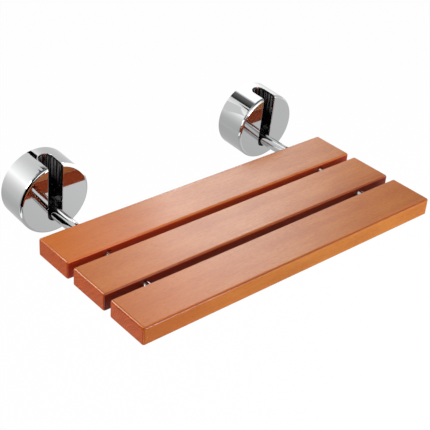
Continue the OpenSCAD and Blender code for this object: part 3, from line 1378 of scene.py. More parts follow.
    def patch_line(self, place: RimPlace, u: float, w: float) -> list[Triple]:
        """Lay a line from the rim's rounding to the strip's border.

        Args:
            place: the place along the rim.
            u: the rim's offset from the slot's wall.
            w: depth below the outer skin.

        Returns:
            Its points.
        """
        first = self.rim_point(place, u, w)
        last = self.patch_end(place, w)
        points = [first]
        for share in self.patch_shares:
            x, y = (a + (b - a) * share for a, b in zip(first[:2], last[:2]))
            station = place.at if place.stretch is Stretch.SIDE else -y / self.straight
            points.append(self.skin_point(x, station, w))
        return points

    def around(self, station: float, w: float) -> list[Triple]:
        """Lay a row round the housing, the long way from side to side of the strip.

        Args:
            station: the place along the side.
            w: depth below the outer skin.

        Returns:
            Its points.
        """
        radius, y = self.profile(station, w)
        gap = math.asin(self.patch_half / radius)
        angles = np.linspace(gap, 2 * math.pi - gap, self.round_steps + 1)
        return [(radius * math.sin(a), y, radius * math.cos(a)) for a in angles]

    def cover_side(self, skin: Skin, u: float, w: float) -> None:
        """Cover the side and the rounded edge at one depth.

        Args:
            skin: the mesh.
            u: the rim's offset from the slot's wall there.
            w: depth below the outer skin.
        """
        rear, side = self.arc(Stretch.REAR), self.side_places()
        skin.both_sides([self.patch_line(place, u, w) for place in rear + side[1:]])
        stations = [self.station_beside(place) for place in rear if place.at > self.patch_corner]
        stations += [place.at for place in side[1:]]
        skin.quads([self.around(station, w) for station in (0.0, *stations)])

    def cover_face(self, skin: Skin, u: float, w: float) -> None:
        """Close the face round the slot at one depth.

        Args:
            skin: the mesh.
            u: the rim's offset from the slot's wall there.
            w: depth below the outer skin.
        """
        slot_edge = [self.rim_point(place, u, w) for place in self.face_places()]
        top = self.patch_line(RimPlace(Stretch.SIDE, 2.0), u, w)
        outline = [*top[:-1], *self.around(2.0, w), *reversed(mirrored(top[:-1]))]
        skin.flat([*outline, *mirrored(slot_edge)[1:-1], *reversed(slot_edge[1:])])

    def shell(self, side: Side) -> bpy.types.Mesh:
        """Mesh the housing as one closed skin.

        Args:
            side: which bracket.

        Returns:
            The mesh in metres.
        """
        skin = Skin(Vector((self.sizes.arm_x(side), 0.0, 0.0)))
        rear, rows = self.arc(Stretch.REAR), self.rim_rows()
        rim = rear + self.side_places()[1:] + self.face_places()[1:]
        skin.both_sides([[self.rim_point(place, u, w) for u, w in rows] for place in rim])
        for u, w in (rows[0], rows[-1]):
            self.cover_side(skin, u, w)
            self.cover_face(skin, u, w)
        behind = [place for place in rear if place.at <= self.patch_corner]
        skins = (0.0, self.wall)
        skin.both_sides([[self.patch_end(place, w) for place in behind] for w in skins])
        skin.quads([self.around(0.0, w) for w in skins])
        return skin.closed(f"{side.name.lower()}_chrome_housing")

    def holes(self, side: Side) -> bpy.types.Object:
        """Make the cutter for the grub screws' holes.

        Args:
            side: which bracket.

        Returns:
            The cutter.
        """
        cutter = bmesh.new()
        radius, depth = self.hole_r * MM, 2 * self.wall * MM
        for angle in self.hole_angles:
            turn = Matrix.Rotation(math.radians(90.0 - angle), 4, "Y")
            out = Vector((math.cos(math.radians(angle)), 0.0, math.sin(math.radians(angle))))
            centre = Vector((self.sizes.arm_x(side), -self.hole_back, 0.0))
            middle = Matrix.Translation((centre + out * (self.outer_r - self.wall / 2)) * MM)
            bmesh.ops.create_cone(
                cutter, cap_ends=True, segments=SCREW_SIDES, radius1=radius, radius2=radius,
                depth=depth, matrix=middle @ turn,
            )
        return new_object("cutter", kept_mesh("cutter", cutter))

    def build(self, side: Side) -> None:
        """Make one bracket's housing.

        Args:
            side: which bracket.
        """
        mesh = self.shell(side)
        piece = new_object(mesh.name, mesh)
        cutter = self.holes(side)
        bore = piece.modifiers.new("holes", "BOOLEAN")
        bore.operation, bore.solver, bore.object = "DIFFERENCE", "EXACT", cutter
        baked(piece)
        bpy.data.objects.remove(cutter)
        evened(piece)
        added(piece, self.finish, Body.BRACKETS, [f"{side.name.lower()}_housing"])


@dataclass(frozen=True)
class ScrewKind:
    """Sizes of a screw, its head's top at 0 and its shank along +Z.

    Attributes:
        head_d: diameter of the head.
        shank_d: diameter of the shank.
        length: whole length.
        socket_d: the socket across its corners.
        socket_depth: depth of the socket.
        tip: height of the cone at its end.
    """

    head_d: float
    shank_d: float
    length: float
    socket_d: float
    socket_depth: float
    tip: float = 0.5

    def values(self) -> dict[str, object]:
        """Give the screws' tree its values.

        Returns:
            The values by the input's name.
        """
        return in_metres(
            head_diameter=self.head_d,
            shank_diameter=self.shank_d,
            length=self.length,
            socket_diameter=self.socket_d,
            socket_depth=self.socket_depth,
            tip=self.tip,
        ) | {"Sides": SCREW_SIDES}


@dataclass(frozen=True)
class RingKind:
    """Sizes of a turned ring, its collar from 0 up along Z and its sleeve below.

    Attributes:
        bore_r: radius of its bore.
        collar_r: outer radius of its collar.
        thick: thickness of the collar.
        sleeve_r: outer radius of its sleeve.
        sleeve_len: length of the sleeve, 0 for a washer.
        dish: how far its bore is raised above its rim.
    """

    bore_r: float
    collar_r: float
    thick: float
    sleeve_r: float
    sleeve_len: float = 0.0
    dish: float = 0.0

    def values(self) -> dict[str, object]:
        """Give the rings' tree its values.

        Returns:
            The values by the input's name.
        """
        return in_metres(
            bore_radius=self.bore_r,
            collar_radius=self.collar_r,
            collar_thickness=self.thick,
            sleeve_radius=self.sleeve_r,
            sleeve_length=self.sleeve_len,
            dish=self.dish,
        ) | {"Sides": RING_SIDES}


def screw_tree() -> bpy.types.NodeTree:
    """Make the tree that sets socket screws at points, each turned its own way.

    Returns:
        The tree.
    """
    lengths = (
        "Head Diameter", "Shank Diameter", "Length", "Socket Diameter", "Socket Depth", "Tip",
    )
    least_head_h = 0.8 * MM
    tip_share = 0.72
    core_share = 0.999
    socket_sides = 6
    seed = 11
    graph = ShapeGraph("socket_screws", lengths, ("Sides",))
    sides, tip = graph.size("Sides"), graph.size("Tip")
    shank_r, head_r = graph.half("Shank Diameter"), graph.half("Head Diameter")
    head_h = graph.calc("MAXIMUM", graph.calc("SUBTRACT", head_r, shank_r), least_head_h)
    middle = graph.calc("MULTIPLY", head_h, 0.5)
    tip_start = graph.calc("SUBTRACT", graph.size("Length"), tip)
    shank_len = graph.calc("SUBTRACT", tip_start, middle)
    core_r = graph.calc("MULTIPLY", shank_r, core_share)
    solid = graph.union(
        graph.cone(sides, head_r, shank_r, head_h, 0.0),
        graph.cylinder(sides, core_r, shank_len, middle),
        graph.cone(sides, core_r, graph.calc("MULTIPLY", shank_r, tip_share), tip, tip_start),
    )
    depth = graph.size("Socket Depth")
    twice, start = (graph.calc("MULTIPLY", depth, times) for times in (2.0, -1.0))
    socket = graph.cylinder(socket_sides, graph.half("Socket Diameter"), twice, start)
    draw = {"Min": 0.0, "Max": math.tau, "Seed": seed}
    turn = graph.add("FunctionNodeRandomValue", draw, data_type="FLOAT")
    return graph.end(graph.at_points(graph.cut(solid, socket), turn.outputs["Value"]))


def ring_tree() -> bpy.types.NodeTree:
    """Make the tree that sets turned rings at points: washers, plain, dished or sleeved.

    Returns:
        The tree.
    """
    lengths = (
        "Bore Radius", "Collar Radius", "Collar Thickness", "Sleeve Radius", "Sleeve Length", "Dish",
    )
    graph = ShapeGraph("turned_rings", lengths, ("Sides",))
    sides, bore_r, collar_r = (graph.size(name) for name in ("Sides", "Bore Radius", "Collar Radius"))
    thick, sleeve_len = graph.size("Collar Thickness"), graph.size("Sleeve Length")
    sleeve_depth = graph.calc("MULTIPLY_ADD", thick, 0.5, sleeve_len)
    below = graph.calc("MULTIPLY", sleeve_len, -1.0)
    solid = graph.union(
        graph.cylinder(sides, collar_r, thick, 0.0),
        graph.cylinder(sides, graph.size("Sleeve Radius"), sleeve_depth, below),
    )
    reach = graph.calc("MULTIPLY", graph.calc("ADD", sleeve_len, thick), 3.0)
    start = graph.calc("MULTIPLY", reach, -0.5)
    ring = graph.cut(solid, graph.cylinder(sides, bore_r, reach, start))
    place = graph.add("GeometryNodeInputPosition")
    flat = graph.vector("MULTIPLY", place, (1.0, 1.0, 0.0))
    radius = graph.vector("LENGTH", flat).outputs["Value"]
    left = graph.calc("SUBTRACT", collar_r, radius)
    width = graph.calc("SUBTRACT", collar_r, bore_r)
    lift = graph.calc("MULTIPLY", graph.calc("DIVIDE", left, width), graph.size("Dish"))
    dished = graph.add("GeometryNodeSetPosition", {"Geometry": ring, "Offset": graph.point(z=lift)})
    return graph.end(graph.at_points(dished))


@dataclass(frozen=True)
class Bracket:
    """The two brackets on the wall: housings, blocks, plates and small hardware.

    Attributes:
        sizes: the sizes they share.
        housing: the chromed housing.
        block_screw: screw between plate and block.
        block_screw_x: its distance from the slot's middle.
        block_screw_z: the screws' heights.
        block_screw_sunk: how far its head is sunk in the plate's back.
        grub_screw: screw that holds the housing.
        grub_sunk: how far it is sunk in the housing.
        thrust_washer: flat washer at each side of an arm's eye.
        thrust_seat: its distance from the arm's axis.
        spring_washer: dished washer between that one and the slot's wall.
        spring_seat: its distance from the arm's axis.
        block_finish: finish of the pivot blocks.
        plate_finish: finish of the wall plates.
        pin_finish: finish of the hinge pins.
        spring_finish: finish of the washers and pin clips.
        screw_finish: finish of the screws.
        pad_finish: finish of the rest pads.
    """

    sizes: SeatSizes = SeatSizes()
    housing: Housing = Housing()
    block_screw: ScrewKind = ScrewKind(9.2, 5.0, 15.8, 3.4, 1.68)
    block_screw_x: float = 14.5
    block_screw_z: Pair = (22.0, -34.5)
    block_screw_sunk: float = 0.2
    grub_screw: ScrewKind = ScrewKind(4.0, 4.0, 6.0, 2.2, 2.4, 1.2)
    grub_sunk: float = 0.4
    thrust_washer: RingKind = RingKind(4.1, 7.05, 1.2, 5.575)
    thrust_seat: float = 8.05
    spring_washer: RingKind = RingKind(4.1, 7.05, 0.5, 5.575, dish=0.65)
    spring_seat: float = 9.3
    block_finish: Finish = GlossBlack("black_enamel", "black_block")
    plate_finish: Finish = Steel("zinc_plated_steel", "plate_steel")
    pin_finish: Finish = Steel(
        "ground_steel", "pin_steel", (0.6, 0.6, 0.61), (0.16, 0.28), Noise((1400.0, 70.0, 70.0))
    )
    spring_finish: Finish = Steel(
        "blued_steel", "spring_steel", (0.1, 0.1, 0.11), (0.25, 0.4), Noise((700.0, 700.0, 700.0))
    )
    screw_finish: Finish = Steel(
        "black_oxide_steel", "dark_screws", (0.08, 0.08, 0.085), (0.3, 0.45),
        Noise((1100.0, 1100.0, 1100.0)),
    )
    pad_finish: Finish = Nylon("moulded_nylon", "black_nylon")

    def block_screw_spots(self) -> list[Spot]:
        """Place the block screws on both plates.

        Returns:
            The places.
        """
        spots = []
        for side in Side:
            for way in (-1, 1):
                x = self.sizes.arm_x(side) + way * self.block_screw_x
                for z in self.block_screw_z:
                    point = Vector((x, -self.block_screw_sunk, z)) * MM
                    spots.append(Spot(point, (90.0, 0.0, 0.0)))
        return spots

    def grub_spots(self) -> list[Spot]:
        """Place the grub screws in both housings.

        Returns:
            The places.
        """
        shell = self.housing
        reach = shell.outer_r - self.grub_sunk
        spots = []
        for side in Side:
            for angle in shell.hole_angles:
                out = math.radians(angle)
                x = self.sizes.arm_x(side) + reach * math.cos(out)
                point = Vector((x, -shell.hole_back, reach * math.sin(out))) * MM
                spots.append(Spot(point, (0.0, -90.0 - angle, 0.0)))
        return spots

    def build(self, nodes: dict[str, bpy.types.Object]) -> None:
        """Make and dress every piece of the brackets.

        Args:
            nodes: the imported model's solids by name.
        """
        for side in Side:
            self.housing.build(side)
        self.build_screws()
        self.build_washers()
        for kind, finish in (
            ("pivot_block", self.block_finish),
            ("wall_plate", self.plate_finish),
            ("hinge_pin", self.pin_finish),
            ("pin_clip", self.spring_finish),
            ("rest_pad", self.pad_finish),
        ):
            for node in both(kind):
                finish.dress(nodes[node])

    def build_screws(self) -> None:
        """Make the block screws and the housings' grub screws."""
        tree = screw_tree()
        for name, kind, spots, node in (
            ("plate_to_block_screws", self.block_screw, self.block_screw_spots(), "block_screws"),
            ("housing_grub_screws", self.grub_screw, self.grub_spots(), "grub_screws"),
        ):
            add_repeated(
                name, tree, kind.values(), spots, self.screw_finish, Body.BRACKETS, both(node)
            )

    def build_washers(self) -> None:
        """Make the flat and the dished washers beside the arms' eyes."""
        tree = ring_tree()
        for name, kind, seat, node in (
            ("flat_thrust_washers", self.thrust_washer, self.thrust_seat, "thrust_washers"),
            ("dished_spring_washers", self.spring_washer, self.spring_seat, "spring_washers"),
        ):
            spots = self.sizes.eye_spots(seat)
            add_repeated(
                name, tree, kind.values(), spots, self.spring_finish, Body.BRACKETS, both(node)
            )


def arm_tree() -> bpy.types.NodeTree:
    """Make the tree that turns a round arm with its flattened, bored eye.

    The arm stands along Z from the hinge line at 0, its eye's bore along X.

    Returns:
        The tree.
    """
    lengths = (
        "Diameter", "Length", "Chamfer", "Eye Thickness", "Flat Length", "Eye Bore",
        "Screw Bore", "First Screw", "Screw Pitch",
    )
    graph = ShapeGraph("round_arm", lengths, ("Sides", "Screws"))
    sides, radius, thick = graph.size("Sides"), graph.half("Diameter"), graph.size("Diameter")
    chamfer, flat_len = graph.size("Chamfer"), graph.size("Flat Length")
    start = graph.calc("SUBTRACT", graph.size("Length"), chamfer)
    end_r = graph.calc("SUBTRACT", radius, chamfer)
    below = graph.calc("MULTIPLY", radius, -1.0)
    lengthwise = graph.cylinder(sides, radius, thick, below)
    across = graph.turned(graph.cylinder(sides, radius, thick, below), (0.0, 90.0, 0.0))
    eye = graph.common(lengthwise, across)
    rod = graph.cylinder(sides, radius, start, 0.0)
    solid = graph.union(eye, rod, graph.cone(sides, radius, end_r, chamfer, start))
    height = graph.calc("ADD", flat_len, graph.calc("ADD", radius, OVERCUT * MM))
    width = graph.calc("MULTIPLY", radius, 4.0)
    slab = graph.add("GeometryNodeMeshCube", {"Size": graph.point(radius, width, height)})
    out = graph.calc("MULTIPLY_ADD", radius, 0.5, graph.half("Eye Thickness"))
    middle = graph.calc("MULTIPLY_ADD", height, -0.5, flat_len)
    flats = [graph.moved(slab, graph.calc("MULTIPLY", out, way), 0.0, middle) for way in (-1.0, 1.0)]
    reach, behind = (graph.calc("MULTIPLY", thick, times) for times in (2.0, -1.0))
    bore = graph.cylinder(EYE_SIDES, graph.half("Eye Bore"), reach, behind)
    hole = graph.cylinder(TAPPED_SIDES, graph.half("Screw Bore"), radius, 0.0)
    hole = graph.moved(graph.turned(hole, (90.0, 0.0, 0.0)), y=radius)
    first, pitch = (graph.point(z=graph.size(name)) for name in ("First Screw", "Screw Pitch"))
    holes = graph.in_row(hole, graph.size("Screws"), first, pitch)
    arm = graph.cut(solid, *flats, graph.turned(bore, (0.0, 90.0, 0.0)), holes)
    return graph.end(graph.at_points(arm))


def slat_tree() -> bpy.types.NodeTree:
    """Make the tree that shapes one slat with its bores and countersinks.

    The box starts as a cube whose outer rows are turned into rounded edges, and
    whose middle rows are moved out to the flat faces.

    Returns:
        The tree.
    """
    lengths = (
        "Length", "Width", "Thickness", "Edge Radius", "Bore Diameter", "Bore Spacing",
        "Bore Reach", "Screw Diameter", "Screw Head Diameter", "Screw Sunk", "Screw Depth",
    )
    graph = ShapeGraph("bored_slat", lengths, ("Rows",))
    rows, edge = graph.size("Rows"), graph.size("Edge Radius")
    inputs = {"Size": (2.0, 2.0, 2.0), "Vertices X": rows, "Vertices Y": rows, "Vertices Z": rows}
    cube = graph.add("GeometryNodeMeshCube", inputs)
    place = graph.parts(graph.add("GeometryNodeInputPosition"))
    step = graph.calc("DIVIDE", 1.0, graph.calc("SUBTRACT", rows, 1.0))
    slopes, flats = [], []
    for axis, name in enumerate(("Length", "Width", "Thickness")):
        sign = graph.calc("SIGN", place[axis])
        out = graph.calc("SUBTRACT", graph.calc("ABSOLUTE", place[axis]), step)
        share = graph.calc("DIVIDE", out, graph.calc("SUBTRACT", 1.0, step), clamp=True)
        slope = graph.calc("TANGENT", graph.calc("MULTIPLY", share, math.pi / 4))
        slopes.append(graph.calc("MULTIPLY", sign, slope))
        flats.append(graph.calc("MULTIPLY", sign, graph.calc("SUBTRACT", graph.half(name), edge)))
    ball = graph.vector("SCALE", graph.vector("NORMALIZE", graph.point(*slopes)))
    graph.feed(ball.inputs["Scale"], edge)
    inputs = {"Geometry": cube, "Position": graph.vector("ADD", ball, graph.point(*flats))}
    box = graph.add("GeometryNodeSetPosition", inputs)
    reach = graph.calc("ADD", graph.size("Bore Reach"), OVERCUT * MM)
    bore = graph.cylinder(BORE_SIDES, graph.half("Bore Diameter"), reach, 0.0)
    back = graph.calc("ADD", graph.half("Width"), OVERCUT * MM)
    bore = graph.moved(graph.turned(bore, (90.0, 0.0, 0.0)), y=back)
    past = OVERCUT * MM / 2
    low, sunk = graph.calc("MULTIPLY", graph.half("Thickness"), -1.0), graph.size("Screw Sunk")
    head_r, shank_r = graph.half("Screw Head Diameter"), graph.half("Screw Diameter")
    below, recess_h = graph.calc("SUBTRACT", low, past), graph.calc("ADD", sunk, past)
    flare_low = graph.calc("ADD", low, sunk)
    recess = graph.cylinder(RING_SIDES, head_r, recess_h, below)
    flare = graph.cone(RING_SIDES, head_r, shank_r, graph.calc("SUBTRACT", head_r, shank_r), flare_low)
    hole = graph.cylinder(RING_SIDES, shank_r, graph.size("Screw Depth"), flare_low)
    spacing = graph.size("Bore Spacing")
    first = graph.point(graph.calc("MULTIPLY", spacing, -0.5))
    step = graph.point(spacing)
    tools = [graph.in_row(tool, len(Side), first, step) for tool in (bore, recess, flare, hole)]
    return graph.end(graph.at_points(graph.cut(box, *tools)))


@dataclass(frozen=True)
class Seat:
    """The folding seat: three wooden slats on two chromed arms.

    Attributes:
        sizes: the sizes it shares.
        slat_len: length of each slat.
        slat_w: width of each slat.
        slat_t: thickness of each slat.
        slat_edge: rounding of every edge.
        slat_start: distance of the rear slat's back from the hinge line.
        slat_pitch: distance from slat to slat.
        bore_d: diameter of the arms' bores.
        blind_bore: depth of the bores in the front slat.
        slat_rows: rows of points along each side of a slat, its edges' rounding among them.
        slat_screw: screw from below into an arm.
        screw_sunk: how far its head is sunk.
        play: how much wider than its screw or bush a hole is.
        bush: flanged bush in an arm's eye.
        bush_seat: distance of its flange from the arm's axis.
        arm_d: diameter of the arms.
        arm_len: length of an arm from the hinge line.
        arm_chamfer: chamfer at its end.
        eye_t: thickness between the flats of its eye.
        flat_len: how far the flats reach from the hinge line.
        arm_finish: finish of the arms.
        screw_finish: finish of the screws.
        bush_finish: finish of the bushes.
        first_seed: seed of the rear slat's wood.
        seed_step: step in it from slat to slat.
        first_pith: where the rear slat's growth rings centre, in metres across and up.
        pith_step: step in that from slat to slat.
        left_light_share: how much painted light brightens each slat's left end to orange.
        front_shade_and_arris: what is left of each slat's colour on its front side, as painted shade in the
            gaps on the rear and middle slats and painted light on the front slat, and on its rounded front
            edges.
    """

    sizes: SeatSizes = SeatSizes()
    slat_len: float = 475.0
    slat_w: float = 63.0
    slat_t: float = 25.0
    slat_edge: float = 3.0
    slat_start: float = 75.489
    slat_pitch: float = 74.0
    bore_d: float = 16.2
    blind_bore: float = 48.0
    slat_rows: int = 10
    slat_screw: ScrewKind = ScrewKind(9.2, 5.0, 13.0, 3.4, 1.68)
    screw_sunk: float = 0.3
    play: float = 0.1
    bush: RingKind = RingKind(4.05, 7.05, 1.95, 5.05, 6.0)
    bush_seat: float = 6.05
    arm_d: float = 16.0
    arm_len: float = 270.989
    arm_chamfer: float = 1.0
    eye_t: float = 12.0
    flat_len: float = 12.0
    arm_finish: Finish = Chrome("arm_polish", "arm_chrome")
    screw_finish: Finish = Steel(
        "stainless_steel", "slat_screw_steel", (0.62, 0.62, 0.62), (0.2, 0.34),
        Noise((1200.0, 1200.0, 1200.0)),
    )
    bush_finish: Finish = Nylon("moulded_nylon", "black_nylon")
    first_seed: float = 3.1
    seed_step: float = 2.3
    first_pith: Pair = (0.012, -0.055)
    pith_step: Pair = (-0.017, 0.02)
    left_light_share: dict[Slat, float] = field(
        default_factory=lambda: {Slat.REAR: 0.75, Slat.MIDDLE: 0.35, Slat.FRONT: 0.4}
    )
    # painted shade on the rear and middle slats' fronts in the gaps, painted light on the front slat's front
    front_shade_and_arris: dict[Slat, tuple[Colour, Colour]] = field(default_factory=lambda: {
        Slat.REAR: ((0.66, 0.2, 0.15), (1.0, 0.8, 0.6)),
        Slat.MIDDLE: ((0.34, 0.1, 0.08), (0.6, 0.33, 0.25)),
        Slat.FRONT: ((1.0, 1.05, 0.72), (0.6, 0.36, 0.25)),
    })

    def slat_middle(self, slat: Slat) -> float:
        """Return the distance of a slat's middle from the hinge line."""
        return self.slat_start + slat.value * self.slat_pitch + self.slat_w / 2

    def wood(self, slat: Slat) -> StainedWood:
        """Choose a slat's own piece of wood.

        Args:
            slat: which slat.

        Returns:
            Its finish.
        """
        front, arris = self.front_shade_and_arris[slat]
        return StainedWood(
            f"{slat.name.lower()}_slat_wood",
            "wood",
            centre=tuple(self.sizes.seat_point(0.0, self.slat_middle(slat), 0.0)),
            tilt=-math.radians(self.sizes.arm_rise),
            seed=self.first_seed + self.seed_step * slat.value,
            pith=tuple(at + step * slat.value for at, step in zip(self.first_pith, self.pith_step)),
            left_light_share=self.left_light_share[slat],
            front=front,
            arris=arris,
        )

    def slat_values(self, slat: Slat) -> dict[str, object]:
        """Give the slats' tree its values for one slat.

        Args:
            slat: which slat.

        Returns:
            The values by the input's name.
        """
        return in_metres(
            length=self.slat_len,
            width=self.slat_w,
            thickness=self.slat_t,
            edge_radius=self.slat_edge,
            bore_diameter=self.bore_d,
            bore_spacing=self.sizes.arm_spacing,
            bore_reach=self.blind_bore if slat is Slat.FRONT else self.slat_w + OVERCUT,
            screw_diameter=self.slat_screw.shank_d + self.play,
            screw_head_diameter=self.slat_screw.head_d + self.play,
            screw_sunk=self.screw_sunk,
            screw_depth=self.slat_t / 2 - self.screw_sunk,
        ) | {"Rows": self.slat_rows}

    def arm_values(self) -> dict[str, object]:
        """Give the arms' tree its values.

        Returns:
            The values by the input's name.
        """
        return in_metres(
            diameter=self.arm_d,
            length=self.arm_len,
            chamfer=self.arm_chamfer,
            eye_thickness=self.eye_t,
            flat_length=self.flat_len,
            eye_bore=2 * self.bush.sleeve_r + self.play,
            screw_bore=self.slat_screw.shank_d + self.play,
            first_screw=self.slat_middle(Slat.REAR),
            screw_pitch=self.slat_pitch,
        ) | {"Sides": ARM_SIDES, "Screws": len(Slat)}

    def spot(self, x: float, u: float, w: float = 0.0, turn: float = 0.0) -> Spot:
        """Place something on the seat.

        Args:
            x: place along the slats.
            u: distance out along the arms from the hinge line.
            w: height above the arms' axes.
            turn: degrees about X from the seat's own direction.

        Returns:
            The place.
        """
        return Spot(self.sizes.seat_point(x, u, w), (turn - self.sizes.arm_rise, 0.0, 0.0))

    def build(self) -> None:
        """Make and dress every piece of the seat."""
        self.build_slats()
        low = self.screw_sunk - self.slat_t / 2
        under = [
            self.spot(self.sizes.arm_x(side), self.slat_middle(slat), low)
            for slat in Slat for side in Side
        ]
        eyes = self.sizes.eye_spots(self.bush_seat)
        hinges = [self.spot(self.sizes.arm_x(side), 0.0, turn=90.0) for side in Side]
        slat_screws = [f"{slat.name.lower()}_slat_screws" for slat in Slat]
        for name, tree, values, spots, finish, nodes in (
            ("slat_to_arm_screws", screw_tree(), self.slat_screw.values(), under, self.screw_finish,
             slat_screws),
            ("flanged_arm_bushes", ring_tree(), self.bush.values(), eyes, self.bush_finish,
             both("arm_bushes")),
            ("round_arms", arm_tree(), self.arm_values(), hinges, self.arm_finish, both("arm")),
        ):
            add_repeated(name, tree, values, spots, finish, Body.SEAT, nodes)

    def build_slats(self) -> None:
        """Make the three slats, each of its own piece of wood."""
        tree = slat_tree()
        for slat in Slat:
            name, wood = slat.name.lower(), self.wood(slat)
            values = self.slat_values(slat) | {"Material": wood.material()}
            spot = self.spot(0.0, self.slat_middle(slat))
            board = grown(f"{name}_wooden_slat", tree, values, [spot])
            evened(board)
            added(board, wood, Body.SEAT, [f"{name}_slat"])


# Studio


@dataclass(frozen=True)
class Card:
    """A flat card that only reflections see.

    Attributes:
        name: its name.
        corner: one corner, in metres.
        along: its first side from there.
        across: its second side from there.
        levels: how bright it is at even steps along the first side, 0 for black.
    """

    name: str
    corner: Triple
    along: Triple
    across: Triple
    levels: tuple[float, ...] = (0.0,)


@dataclass(frozen=True)
class Lamp:
    """A soft lamp.

    Attributes:
        name: its name.
        centre: its middle, in metres.
        target: the point it faces.
        size: width and height in metres.
        power: its power in watts.
        glossy: whether reflections see it.
        diffuse: whether it lights matt surfaces.
    """

    name: str
    centre: Triple
    target: Triple
    size: Pair
    power: float
    glossy: bool = True
    diffuse: bool = True


def facing(centre: Triple, target: Triple) -> Matrix:
    """Return the pose of something at a point whose -Z looks at a target."""
    look = Vector(target) - Vector(centre)
    return Matrix.Translation(centre) @ look.to_track_quat("-Z", "Y").to_matrix().to_4x4()


@dataclass(frozen=True)
class Studio:
    """Floor, background, lamps, cards and camera.

    Attributes:
        floor_z: height of the floor in metres.
        floor_size: its side in metres.
        floor_grey: how pale the floor is.
        floor_glow: how much of it the camera sees as plain white, the rest with the shadow.
        fill: how bright the room is to matt surfaces, at least and at most.
        fill_from: where it is brightest.
        sky: brightness in reflections by height, as degrees above the horizon.
        shade: how much of that is left on the far left.
        shade_span: leftward slopes between which it falls off.
        lamps: the soft lamps.
        cards: the cards.
        least_glow: strength of a black card, just above 0.
        eye: the camera's place in metres.
        right: its right-hand direction.
        up: its upward direction.
        lens: its focal length.
        sensor: width of its sensor.
    """

    floor_z: float = -0.45
    floor_size: float = 14.0
    floor_grey: float = 0.9
    floor_glow: float = 0.955
    fill: Pair = (0.35, 0.85)
    fill_from: Triple = (-0.2, -0.6, 0.77)
    sky: tuple[Pair, ...] = (
        (-90.0, 0.66), (-35.0, 0.66), (-22.0, 0.76), (-9.0, 1.0), (6.0, 1.4), (19.0, 1.8),
        (32.0, 1.4), (44.0, 1.0), (56.0, 0.8), (66.0, 0.25), (90.0, 0.1),
    )
    shade: float = 0.62
    shade_span: Pair = (-0.85, -0.6)
    lamps: tuple[Lamp, ...] = (
        Lamp("key_front_right", (0.95, -1.05, 0.3), (0.0, -0.2, 0.0), (0.5, 0.5), 12.0, glossy=False),
        Lamp("soft_left", (-1.5, -0.2, 0.9), (0.0, -0.15, 0.0), (0.9, 0.9), 7.0, glossy=False),
        Lamp(
            "window_back_right", (0.815, 0.73, 0.66), (0.02, -0.17, 0.0), (0.4, 0.36), 14.4,
            diffuse=False,
        ),
    )
    cards: tuple[Card, ...] = (
        Card("dark_room_left", (-1.2, -1.5, -1.25), (0.8, 0.0, 0.0), (0.0, 0.0, 1.75)),
        Card("dark_room_front", (-0.4, -1.5, -0.6), (0.65, 0.0, 0.0), (0.0, 0.0, 1.1)),
        Card("white_front_top", (-1.1, -1.5, 1.0), (1.8, 0.0, 0.0), (0.0, 0.0, 0.9), (1.8,)),
        Card("near_flag", (-0.52, -0.5, -0.28), (0.0, 0.48, 0.0), (0.0, 0.0, 0.8)),
        Card("gap_flag", (-0.48, 0.36, 0.6), (0.24, 0.0, 0.0), (0.0, 0.17, 0.0)),
        Card("white_floor_left", (-1.2, -0.75, -0.43), (0.7, 0.0, 0.0), (0.0, 0.95, 0.0), (1.6,)),
        Card("edge_card", (-0.12, -0.26, 0.015), (0.0, 0.25, 0.0), (0.0, 0.0, 0.1), (1.8,)),
        Card(
            "pale_floor_front", (-0.1, -1.5, -0.44), (1.1, 0.0, 0.0), (0.0, 1.25, 0.0),
            (0.8, 0.8, 0.82, 0.9, 0.96, 0.9, 0.8, 0.72, 0.78, 0.81, 0.82, 0.82),
        ),
        Card("end_strip", (-0.41, -0.14, 0.11), (0.0, 0.21, 0.0), (0.07, 0.0, 0.06), (8.0,)),
        Card("crescent_flag", (-0.237, -0.0486, 0.0112), (0.039, 0.0, 0.0431), (-0.0225, 0.0, 0.02)),
        Card("front_strip", (0.1, -1.17, 0.02), (0.6, 0.0, 0.0), (0.0, 0.0, 0.14), (22.0, 20.0, 8.0, 2.0)),
        Card("soft_back", (-0.24, 0.3, 0.085), (0.11, 0.0, 0.096), (0.0, 0.0, 0.16), (0.97, 0.99)),
        Card("soft_right", (0.03, 0.48, -0.35), (0.37, 0.0, 0.0), (0.0, 0.0, 0.83), (1.25, 0.95, 0.85, 0.8)),
        Card("graded_flag", (-0.175, 0.34, 0.6), (0.264, 0.0, 0.0), (0.0, 0.19, 0.0), (0.0, 0.25)),
        Card("rod_flag", (-0.36, 0.29, 0.6), (0.185, 0.0, 0.0), (0.0, 0.12, 0.0)),
        Card("small_flag", (-0.08, 0.565, 0.6), (0.14, 0.0, 0.0), (0.0, 0.08, 0.0)),
        Card("dim_room_right", (0.75, -1.4, 0.35), (0.75, 0.75, 0.0), (0.0, 0.0, 1.1), (0.25,)),
        Card("grey_side", (0.5, -0.25, 0.04), (0.0, 0.36, 0.0), (0.0, 0.0, 0.26), (0.85,)),
        Card("white_card_high", (0.125, 0.49, 0.5), (0.73, 0.0, 0.0), (0.0, 0.0, 0.28), (1.8,)),
        Card("white_card_low", (0.45, 0.49, 0.3), (0.4, 0.0, 0.0), (0.0, 0.0, 0.2), (1.8,)),
    )
    least_glow: float = 0.001
    eye: Triple = (-0.75936, -0.93925, 0.72653)
    right: Triple = (0.76294, -0.6386, 0.10058)
    up: Triple = (0.30294, 0.4906, 0.81703)
    lens: float = 84.608
    sensor: float = 36.0

    def build(self) -> None:
        """Make the whole studio."""
        self.build_world()
        self.build_floor()
        for lamp in self.lamps:
            self.build_lamp(lamp)
        for card in self.cards:
            self.build_card(card)
        self.build_camera()
        bpy.context.scene.view_settings.view_transform = "Standard"

